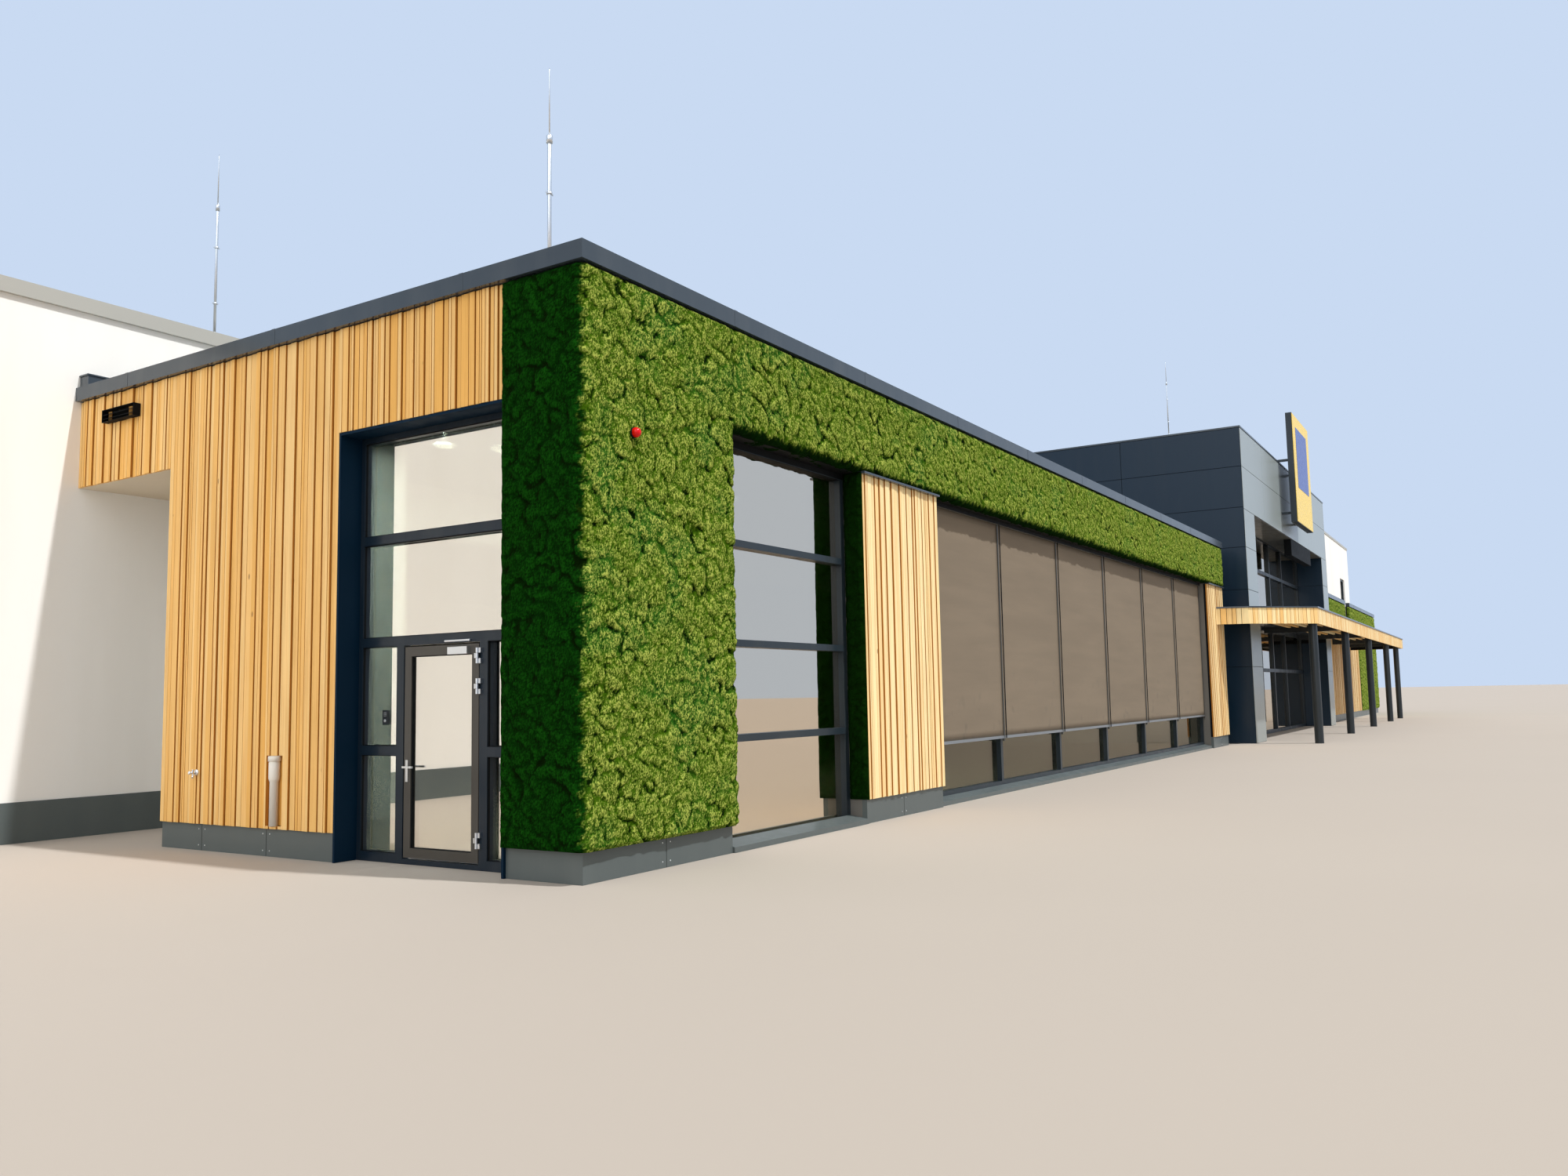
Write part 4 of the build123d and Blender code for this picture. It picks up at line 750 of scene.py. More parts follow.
def make_materials(scene):
    """All finishes of the building, by name."""
    metal, walls, glass = scene.building_metal, scene.building_walls, scene.building_glass
    tint, shine = tuple(glass.tint), tuple(glass.shine)
    preserved_moss(scene.building_moss)
    oiled_larch(scene.building_timber)
    for part, looks in {
            # The side panels and the front panels are shaded and sunlit copies of one coat: painted shade and
            # painted highlight
            "panel": {"gloss": 0.3, "coat_roughness": 0.22, "dust_share": 0.02},
            "front_panel": {"gloss": 1.0, "coat_roughness": 0.25, "dust_share": 0.03},
            "roof_edge": {"gloss": 1.0, "coat_roughness": 0.2},
            "lining": {"roughness": 0.6, "gloss": 0.0, "dust_share": 0.004, "specular": 0.1},
            "frame": {"gloss": 0.15}, "guide": {"gloss": 0.0}, "coping": {"gloss": 0.1},
            "plinth": {}, "post": {}, "soffit": {}, "surround": {}, "door": {}}.items():
        coated_metal("coated_" + part, getattr(metal, part), **looks)
    brushed_metal("brushed_steel", linear("E0E2E3"))
    brushed_metal("anodised_aluminium", scene.building_screens.bar, 0.42)
    brushed_metal("polished_chrome", linear("EFF0F0"), 0.12)
    mineral_render("rubbed_render", walls.render)
    mineral_render("cream_render", walls.soffit)
    seamed_membrane("welded_membrane", walls.membrane)
    floor_tiles("floor_tiles", walls.floor)
    cast_concrete("cast_concrete", walls.concrete)
    coated_glass("shop_glass", tint, shine, 0.70)
    coated_glass("screened_glass", darker(tint, 0.55), shine, 0.10, 0.6)
    coated_glass("entrance_glass", tint, shine, 0.50)
    coated_glass("door_glass", tuple(glass.clear), linear("FFFAF2"), 0.62)
    woven_screen(scene.building_screens.fabric)
    moulded_plastic("sign_face_yellow", scene.building_sign.face)
    moulded_plastic("sign_field_blue", scene.building_sign.field)
    moulded_plastic("red_lens", linear("E0080C"), 0.15, specular=0.3)
    moulded_plastic("black_rubber", linear("101214"), 0.6, specular=0.1)
    moulded_plastic("white_pipe", linear("E9E6DD"), 0.4)
    moulded_plastic("lamp_diffuser", linear("FFFDF6"), 0.4, glow=6.0)


# Operators, one for each group of like pieces


class FinishFrame(bpy.types.Operator):
    """Give every piece of the plain frame its finish"""

    bl_idname = "building.finish_frame"
    bl_label = "Finish the frame"

    finishes = {
        "rubbed_render": "hall_front_wall hall_side_walls hall_back_wall upper_walls wing_inner_walls",
        "cream_render": "passage_ceiling",
        "cast_concrete": "wing_walls wing_head_wall right_walls wing_moss right_moss",
        "welded_membrane": "flat_roofs",
        "floor_tiles": "ground_floor",
        "coated_plinth": "plinths",
        "coated_coping": "roof_coping",
        "coated_roof_edge": "roof_fascia canopy_roof tower_coping",
        "coated_lining": "door_lining",
        "coated_frame": "window_frames tower_glazing_frame sign_box",
        "coated_post": "canopy_beams canopy_columns call_box",
        "coated_surround": "door_frame",
        "coated_door": "door_leaf",
        "black_rubber": "tower_side_walls tower_front_head tower_back_wall vent_box",
        "coated_guide": "screen_guides",
        "anodised_aluminium": "screen_bars",
        "brushed_steel": "door_fittings fixed_hinges water_taps lightning_rods",
        "oiled_larch": "end_timber front_timber canopy_fascia",
        "shop_glass": "fixed_glass",
        "door_glass": "door_leaf_glass",
        "woven_screen": "sun_screens",
        "sign_face_yellow": "sign_face",
        "red_lens": "alarm_beacon",
    }

    def execute(self, context):
        make_materials(context.scene)
        finish_of = {node: finish for finish, nodes in self.finishes.items() for node in nodes.split()}
        missing = sorted(set(frame["nodes"]) ^ set(finish_of))
        if missing:
            raise RuntimeError(f"no finish for {missing}")
        for node, finish in finish_of.items():
            mesh = frame["nodes"][node].data
            mesh.materials.clear()
            mesh.materials.append(bpy.data.materials[finish])
        return {"FINISHED"}


class DressMoss(bpy.types.Operator):
    """Moss on the wing's corner, over its windows, in the window reveal and beyond the tower"""

    bl_idname = "building.dress_moss"
    bl_label = "Moss"

    def execute(self, context):
        moss = context.scene.building_moss
        left, front, side = CORNER_X - 0.001, FRONT_Y - 0.001, RIGHT_END_X - 0.011
        reveal, inner = FRONT_Y + GLAZING_DEPTH - 0.005, FRONT_Y + 0.098
        bottom, soffit, top = PLINTH_TOP - 0.006, BAND_BOTTOM + 0.022, BAND_TOP - 0.012
        middle = (bottom + soffit) / 2
        corner = [(left, MOSS_END_Y), (left, front), (WINDOW_X, front)]
        turned = corner + [(WINDOW_X, reveal)]
        near, far, yes, no = moss.near_cell, moss.far_cell, True, False
        # The wing's end side and the left reveal get painted shade
        for name, path, low, high, rims, replaces in (
                ("moss_corner_low", turned, bottom, middle, (yes, yes, yes, no), ("wing_moss",)),
                ("moss_corner_middle", turned, middle, soffit, (yes, yes, no, no), ()),
                ("moss_corner_high", corner, soffit, top, (yes, no, no, yes), ())):
            moss_sheet(name, path, low, high, near, moss, start_run=front - MOSS_END_Y,
                       shaded=((-1.0, 0.0), (WINDOW_X - left, 9.0)), rims=rims, replaces=replaces)
        # The bands' undersides get painted shade, darkened toward the hollows' near-black
        for name, depth, start, end, cell, rims, replaces in (
                ("moss_band_near", reveal, WINDOW_X, STRIP_X, near, (yes, yes, no, no), ()),
                ("moss_band", inner, STRIP_X, WING_END, moss.band_cell, (yes, yes, no, yes), ()),
                ("moss_band_entrance", inner, TOWER_END_X, STAIR_X, far, ALL_RIMS, ("right_moss",)),
                ("moss_band_stair", inner, STAIR_END_X, RIGHT_MOSS_X, far, ALL_RIMS, ())):
            moss_sheet(name, [(front, top), (front, soffit), (depth, soffit)], start, end, cell, moss,
                       upright=False, shaded=((top - soffit, 9.0),), extra_painted_shade=0.8, rims=rims, replaces=replaces)
        # The reveal beside the shop window is painted wholly in shade
        moss_sheet("moss_reveal", [(PIER_X, reveal), (PIER_X, FRONT_Y + 0.004)], PLINTH_TOP, BAND_BOTTOM,
                   near * 1.4, moss, depth=-0.001, shaded=((-1.0, 9.0),), extra_painted_shade=0.8)
        moss_sheet("moss_far_corner", [(RIGHT_MOSS_X, front), (side, front), (side, MOSS_END_Y)],
                   bottom, top, far, moss, start_run=RIGHT_MOSS_X - CORNER_X)
        return {"FINISHED"}


class DressTimber(bpy.types.Operator):
    """Larch boards on the wing's end, on the piers, beside the entrance and on the far end"""

    bl_idname = "building.dress_timber"
    bl_label = "Timber"

    clearance = 0.004
    # Hole in the end boards for the standpipe: run from the door recess, and heights
    niche = (0.452, 0.562, 0.165, 0.542)

    def execute(self, context):
        timber = context.scene.building_timber
        rng = random.Random(5)
        along_x, along_y = Vector((1, 0, 0)), Vector((0, 1, 0))
        face, raised, cap = CORNER_X + self.clearance, BAND_BOTTOM + 0.006, BAND_BOTTOM - 0.012
        top = BAND_TOP - self.clearance
        end_boards, front_boards, backing = Shape(), Shape(), Shape()
        for y0, y1, bottom, foil, hole in (
                (MOSS_END_Y, RECESS_END_Y, BAND_BOTTOM, raised, None),
                (RECESS_END_Y, PASSAGE_Y, PLINTH_TOP, PLINTH_TOP, self.niche),
                (PASSAGE_Y, HALL_Y, BAND_BOTTOM, raised, None)):
            boards(end_boards, Vector((face, y0, 0)), along_y, -along_x, y1 - y0, bottom, top, rng, timber,
                   hole=hole)
            backing.block((CORNER_X + BACKING, y0, foil), (CORNER_X + SKIN, y1, BAND_TOP))
        begin, end, low, high = self.niche
        end_boards.block((CORNER_X + 0.036, RECESS_END_Y + begin - 0.02, low),
                         (CORNER_X + 0.044, RECESS_END_Y + end + 0.02, high + 0.02), tone=0.0)
        # The front's boards take the paler tones 0.6 to 1, a painted highlight, and the ends the darker tones
        # 0 to 0.4, a painted shade: lit and shaded copies of one larch
        for x0, x1, head in (
                (PIER_X, STRIP_X, cap), (STRIP_END_X, WING_END, cap), (TOWER_END_X, STAIR_X, BAND_BOTTOM),
                (STAIR_X, STAIR_END_X, STAIR_SILL), (STAIR_END_X, RIGHT_MOSS_X, BAND_BOTTOM)):
            boards(front_boards, Vector((x0, FRONT_Y + self.clearance, 0)), along_x, -along_y, x1 - x0,
                   PLINTH_TOP, head, rng, timber, (0.6, 1.0))
            backing.block((x0, FRONT_Y + BACKING, PLINTH_TOP), (x1, FRONT_Y + SKIN, head))
        boards(front_boards, Vector((RIGHT_END_X - self.clearance, MOSS_END_Y, 0)), along_y, along_x,
               HALL_Y - MOSS_END_Y, PLINTH_TOP, top, rng, timber)
        backing.block((RIGHT_END_X - SKIN, MOSS_END_Y, PLINTH_TOP), (RIGHT_END_X - BACKING, HALL_Y, BAND_TOP))
        end_boards.make("end_boards", "oiled_larch", replaces=("end_timber",))
        front_boards.make("front_boards", "oiled_larch", replaces=("front_timber",))
        backing.make("wind_foil", "black_rubber")
        for name, finish, y0, y1, reach in (
                ("passage_trim", "cream_render", PASSAGE_Y, HALL_Y, 0.201),
                ("recess_trim", "coated_lining", MOSS_END_Y, RECESS_END_Y, SKIN)):
            blocks(name, finish, [((CORNER_X + 0.026, y0 + 0.001, BAND_BOTTOM - 0.001),
                                   (CORNER_X + reach, y1 - 0.001, BAND_BOTTOM + 0.004))], 0.001)
        blocks("pier_caps", "coated_roof_edge", [
            ((x0 - 0.006, FRONT_Y - 0.022, cap), (x1 + 0.004, FRONT_Y + 0.05, BAND_BOTTOM + 0.003))
            for x0, x1 in ((PIER_X, STRIP_X), (STRIP_END_X, WING_END))])
        return {"FINISHED"}


def screen_span(bay):
    """Left and right edge of a sun screen; the guides at both ends stand wholly in their bays."""
    left, right = (STRIP_X + (bay + side) * SCREEN_PITCH for side in (0, 1))
    return left + (GUIDE / 2 if bay else GUIDE), right - (GUIDE / 2 if bay < SCREEN_COUNT - 1 else GUIDE)


class DressScreens(bpy.types.Operator):
    """Six woven sun screens, hung between their guides"""

    bl_idname = "building.dress_screens"
    bl_label = "Sun screens"

    thickness = 0.0016
    columns = 28
    rows = 34

    def execute(self, context):
        wave = context.scene.building_screens.wave
        low, high = FABRIC[0].z, FABRIC[1].z
        for bay in range(SCREEN_COUNT):
            left, right = screen_span(bay)
            piece = self.sheet(bay, left, right, low, high, wave)
            if bay == 0:
                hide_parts("sun_screens")
        return {"FINISHED"}

    def sheet(self, bay, left, right, low, high, wave):
        """One thin cloth, flat at its edges, that strays a little between them."""
        marks = (np.linspace(0, 1, count) for count in (self.columns, self.rows))
        across, up = np.meshgrid(*marks, indexing="ij")
        stray = (drift(across * 2.4 + bay * 7, up * 5.0, 51) - 0.5) * np.sin(across * math.pi) ** 0.5
        x, z = left + across * (right - left), low + up * (high - low)
        y = (FABRIC[0].y + FABRIC[1].y) / 2 + stray * wave * 2
        points = np.stack([[x, y + side * self.thickness / 2, z] for side in (-1, 1)])
        index = np.arange(x.size).reshape(x.shape)
        rim = np.concatenate([index[:, 0], index[-1, 1:], index[-2::-1, -1], index[0, -2::-1]])
        edge = quads(np.column_stack([rim + x.size, rim]))
        faces = np.concatenate([quads(index), quads(index)[:, ::-1] + x.size, edge])
        name = f"sun_screen_{bay + 1}"
        mesh = new_mesh(name, np.moveaxis(points, 1, -1), faces.tolist(), flat=len(edge))
        return settle(name, mesh, "woven_screen")


def spans(marks):
    """Pairs of neighbouring marks."""
    return list(zip(marks, marks[1:]))


class DressTower(bpy.types.Operator):
    """Metal panels on the tower, with open joints"""

    bl_idname = "building.dress_tower"
    bl_label = "Tower panels"

    thickness = 0.006
    # Joint heights and the first upright joints come from the photograph; the rest repeat them
    levels = (0.0, 1.115, 2.25, 2.88, 3.475, 4.09, 4.672)
    side_joints = (1.775, 3.55)
    front_joints = (1.70, 3.40, 5.10, 6.80)

    def execute(self, context):
        gap = context.scene.building_metal.panel_gap / 2
        low, high = TOWER
        left, right, head = TOWER_HEAD[0].x, TOWER_HEAD[1].x, TOWER_FRAME[1].z
        glazing, top = TOWER_FRAME[0].y, self.levels[-1]
        rows, middle = spans(self.levels), self.levels[-2]
        columns = spans([low.x, *(low.x + joint for joint in self.front_joints), high.x])
        depths = spans([low.y, *(low.y + joint for joint in self.side_joints), high.y])
        # Axis, face and outward side of each panel, then its start, end, bottom and top
        street = [(1, low.y, -1, x0, x1, z0, min(z1, head))
                  for x0, x1 in ((low.x, left), (right, high.x)) for z0, z1 in rows if z1 <= head + 0.03]
        street += [(1, low.y, -1, *column, *row)
                   for column in columns for row in ((head, middle), (middle, top))]
        sides = [(0, low.x, -1, *depth, *row) for depth in depths for row in rows]
        # The rows below the roof of the part beside it are left out on that side
        sides += [(0, high.x, 1, *depth, *row) for depth in depths for row in rows if row[1] >= 2.9]
        sides += [(0, face, outward, low.y, glazing, *row) for face, outward in ((left, 1), (right, -1))
                  for row in ((0.0, 1.7), (1.945, 2.88), (2.88, head))]
        sides += [(1, TOWER_BACK[1].y, 1, *column, TOWER_BACK[0].z + 0.1, top) for column in columns]
        for name, finish, places in (("tower_front_panels", "coated_front_panel", street),
                                     ("tower_side_panels", "coated_panel", sides)):
            blocks(name, finish, [self.panel(gap, *place) for place in places], 0.0012)
        under = [(max(x0, left), min(x1, right)) for x0, x1 in columns]
        blocks("tower_soffit", "coated_soffit", [
            ((x0 + gap, low.y + 0.004, head - self.thickness), (x1 - gap, glazing, head))
            for x0, x1 in under if x1 - x0 > 0.1], 0.001)
        return {"FINISHED"}

    def panel(self, gap, axis, face, outward, begin, end, bottom, top):
        """Corners of one folded panel on a wall face; axis 0 faces along X and axis 1 along Y."""
        near, far = sorted((face, face + outward * self.thickness))
        corners = (near, begin + gap, bottom + gap), (far, end - gap, top - gap)
        return [(along, across, up) if axis else (across, along, up) for across, along, up in corners]


class DressCanopy(bpy.types.Operator):
    """Boards round the canopy, their backing, and planed battens under it"""

    bl_idname = "building.dress_canopy"
    bl_label = "Canopy"

    def execute(self, context):
        timber = context.scene.building_timber
        rng = random.Random(13)
        low, high = CANOPY
        top, deck, back = high.z - 0.001, CANOPY_TOP[0].z, FRONT_Y + 0.010
        outline = [Vector((x, y, 0)) for x, y in (
            (low.x, back), (low.x + 0.150, back - 0.400), (low.x + 1.000, low.y), (high.x, low.y),
            (high.x, back))]
        cladding, backing, battens = Shape(), Shape(), Shape()
        for first, second in spans(outline):
            direction = (second - first).normalized()
            inward = Vector((-direction.y, direction.x, 0))
            for begin, end, depth in board_layout((second - first).length, rng, timber, 0.050, 0.085):
                start, stop = (first + direction * at + inward * depth / 4 for at in (begin, end))
                cladding.strip(start, stop, inward * timber.thickness, low.z, top, rng.uniform(0.2, 1.0))
                # The boards' sides get tone -1, which the larch paints as shade
                cladding.tones[-6:-4] = cladding.tones[-2:] = [-1.0, -1.0]
            inset = inward * 0.0265
            backing.strip(first + inset, second + inset, inward * 0.0035, low.z + 0.004, top)
        for row in range(7):
            y, left = low.y + 0.16 + row * 0.13, low.x + 0.55 + 0.45 * (1 - row / 6)
            battens.block((left, y, deck - 0.030), (high.x - 0.05, y + 0.034, deck), tone=rng.random())
        cladding.make("canopy_boards", "oiled_larch", replaces=("canopy_fascia",))
        backing.make("canopy_backing", "black_rubber")
        battens.make("canopy_battens", "oiled_larch")
        return {"FINISHED"}


class DressGlazing(bpy.types.Operator):
    """Panes, gaskets, sills and the door's closing rail"""

    bl_idname = "building.dress_glazing"
    bl_label = "Glazing"

    glass = 0.010
    bead = 0.004

    def execute(self, context):
        self.panes()
        self.gaskets()
        self.foil()
        sills, inner = Shape(), FRONT_Y + GLAZING_DEPTH
        for x0, x1, reach in ((WINDOW_X, PIER_X, 0.012), (STRIP_X, STRIP_END_X, 0.05)):
            outer = FRONT_Y + reach
            sills.prism([(outer, 0.0), (outer, 0.030), (inner, 0.052), (inner, 0.0)],
                        x0 + 0.002, x1 - 0.002, axes=(1, 2, 0))
        sills.make("window_sills", "coated_plinth")
        lefts = [screen_span(bay)[0] for bay in range(SCREEN_COUNT)]
        blocks("guide_seals", "black_rubber", [
            ((left - 0.008, SCREEN_Y - 0.001, FABRIC[0].z - 0.02), (left, SCREEN_Y + 0.006, FABRIC[1].z))
            for left in lefts], 0.0004)
        blocks("closer_rail", "brushed_steel", [
            ((LEAF[0].x - 0.012, LEAF[0].y + 0.055, 1.112), (LEAF[0].x, LEAF[0].y + 0.235, 1.123))], 0.002)
        return {"FINISHED"}

    def panes(self):
        """One piece of glass for each kind of window, where the plain frame has its glass."""
        floor, transom, door_x = DOOR_FRAME[0].z, 1.132, CORNER_X + 0.185
        entrance_x, (_, entrance_y, entrance_top) = (corner.x for corner in TOWER_HEAD), TOWER_FRAME[1]
        for name, finish, (x0, x1), y, z0, z1 in (
                ("shop_pane", "shop_glass", (WINDOW_X, PIER_X), FRONT_Y + 0.185, floor, BAND_BOTTOM),
                ("screened_pane", "screened_glass", (STRIP_X, STRIP_END_X), FRONT_Y + 0.190, floor,
                 BAND_BOTTOM),
                ("entrance_pane", "entrance_glass", entrance_x, entrance_y, floor, entrance_top),
                ("stair_pane", "entrance_glass", (STAIR_X, STAIR_END_X), FRONT_Y + 0.130, STAIR_SILL,
                 STAIR_HEAD)):
            blocks(name, finish, [((x0, y, z0), (x1, y + self.glass, z1))], 0.001,
                   replaces=("fixed_glass",) if name == "shop_pane" else ())
        blocks("door_side_panes", "door_glass", [
            ((door_x, y0, z0), (door_x + self.glass, y1, z1)) for y0, y1, z0, z1 in (
                (MOSS_END_Y, RECESS_END_Y, transom, BAND_BOTTOM),
                (MOSS_END_Y, FRONT_Y + 0.7825, floor, transom - 0.001),
                (LEAF[1].y + 0.032, RECESS_END_Y, floor, transom - 0.001))], 0.001)

    def gaskets(self):
        """Thin gaskets round the panes of the door and beside it, set into the frame's openings."""
        left, right = MOSS_END_Y + 0.045, RECESS_END_Y - 0.045
        beside = [(y0, y1, z0, z1) for y0, y1 in ((left, FRONT_Y + 0.745), (LEAF[1].y + 0.064, right))
                  for z0, z1 in ((0.593, 1.108), (0.048, 0.545))]
        above = [(left, right, 1.698, 2.205), (left, right, 1.156, 1.650)]
        leaf = [(LEAF_GLASS[0].y, LEAF_GLASS[1].y, LEAF_GLASS[0].z, LEAF_GLASS[1].z)]
        for name, body, face, openings in (("pane_gaskets", "building", DOOR_FRAME[0].x, above + beside),
                                           ("leaf_gasket", "door", LEAF[0].x, leaf)):
            blocks(name, "black_rubber", [
                ((face + 0.006, a, c), (face + 0.016, b, d)) for y0, y1, z0, z1 in openings
                for a, b, c, d in (
                    (y0, y0 + self.bead, z0, z1), (y1 - self.bead, y1, z0, z1),
                    (y0 + self.bead, y1 - self.bead, z0, z0 + self.bead),
                    (y0 + self.bead, y1 - self.bead, z1 - self.bead, z1))], 0.0008, body)

    def foil(self):
        """Black sheets and strips of painted shade over the windows: under the band, at the screens' heads,
        over the pane.
        """
        start, end = STRIP_X + 0.001, STRIP_END_X - 0.001
        back, edge = SCREEN_Y + 0.001, BAND_BOTTOM - 0.003
        blocks("soffit_foil", "black_rubber", [
            ((x0, y0, z0), (x1, y1, z1)) for x0, x1, y0, y1, z0, z1 in (
                (WINDOW_X - 0.02, PIER_X + 0.02, FRONT_Y + 0.055, FRONT_Y + 0.1445, edge,
                 BAND_BOTTOM + 0.004),
                (start, end, FRONT_Y + 0.055, back, edge, BAND_BOTTOM + 0.004),
                (start, end, SCREEN_Y - 0.002, back, FABRIC[1].z + 0.001, edge),
                (WINDOW_X + 0.001, PIER_X - 0.001, FRONT_Y + 0.1435, FRONT_Y + 0.1455, BAND_BOTTOM - 0.041,
                 BAND_BOTTOM),
                (WINDOW_X + 0.045, PIER_X - 0.045, FRONT_Y + 0.146, FRONT_Y + 0.1845, BAND_BOTTOM - 0.047,
                 BAND_BOTTOM - 0.045))], 0.0005)


class DressRoof(bpy.types.Operator):
    """Roof edge joints, lightning rods with their clamps, and the flashing beside the hall"""

    bl_idname = "building.dress_roof"
    bl_label = "Roof edges and rods"

    joint_pitch = 1.5
    # Place from the wing's corner, roof height, tip height and pole radius
    rods = (
        (0.950, 1.100, 2.780, 4.535, 0.0125),
        (1.150, 4.750, 3.380, 5.075, 0.0100),
        (14.700, 0.900, 4.600, 6.000, 0.0080),
        (22.300, 0.900, 4.600, 5.500, 0.0080),
        (31.800, 1.500, 2.780, 4.300, 0.0080),
    )

    def execute(self, context):
        roof, wall = FASCIA[1].z, HALL_Y - 0.002
        plates = []
        for axis, first, last in (
                (0, CORNER_X + 1.2, WING_END - 0.3), (0, STAIR_END_X + 1.0, RIGHT_END_X - 0.3),
                (1, FRONT_Y + 0.75, HALL_Y - 0.2)):
            face = FASCIA[0][1 - axis]
            for at in np.arange(first, last, self.joint_pitch).tolist():
                ends = (at, face - 0.0012), (at + 0.03, face + 0.004)
                low, high = (pair[::-1] if axis else pair for pair in ends)
                plates.append(((*low, FASCIA[0].z + 0.001), (*high, roof + 0.0015)))
        blocks("edge_joint_plates", "coated_roof_edge", plates, 0.0004)
        self.lightning_rods()
        blocks("hall_flashing", "coated_roof_edge", [
            ((CORNER_X, HALL_Y - 0.10, roof), (CORNER_X + 0.62, wall, roof + 0.075)),
            ((CORNER_X - 0.008, HALL_Y - 0.108, roof + 0.075), (CORNER_X + 0.62, wall, roof + 0.086))])
        return {"FINISHED"}

    def lightning_rods(self):
        """Poles on cast feet, with three clamps, a socket and a thin tip."""
        poles, feet = Shape(), Shape()
        for x, y, roof, tip, radius in self.rods:
            foot = (CORNER_X + x, FRONT_Y + y, roof)
            rise = tip - roof
            socket = rise * 0.76
            feet.turned(foot, ((0.058, 0.001), (0.058, 0.040), (0.050, 0.052), (0.020, 0.058)), 24)
            poles.turned(foot, ((radius, 0.05), (radius, socket), (radius * 0.6, socket + 0.01)), 16)
            poles.turned(foot, ((radius * 1.5, socket - 0.045), (radius * 1.5, socket - 0.002),
                                (radius * 0.9, socket + 0.006)), 16)
            poles.turned(foot, ((0.0040, socket), (0.0040, rise - 0.03), (0.0012, rise)), 10)
            for level in (rise * share for share in (0.16, 0.30, 0.56)):
                poles.turned(foot, ((radius * 1.35, level - 0.008), (radius * 1.35, level + 0.008)), 16)
                poles.block((foot[0] - radius * 2.4, foot[1] - 0.003, roof + level - 0.006),
                            (foot[0] + radius * 2.4, foot[1] + 0.003, roof + level + 0.006), 0.0008)
        poles.make("lightning_poles", "brushed_steel", replaces=("lightning_rods",))
        feet.make("lightning_feet", "cast_concrete")


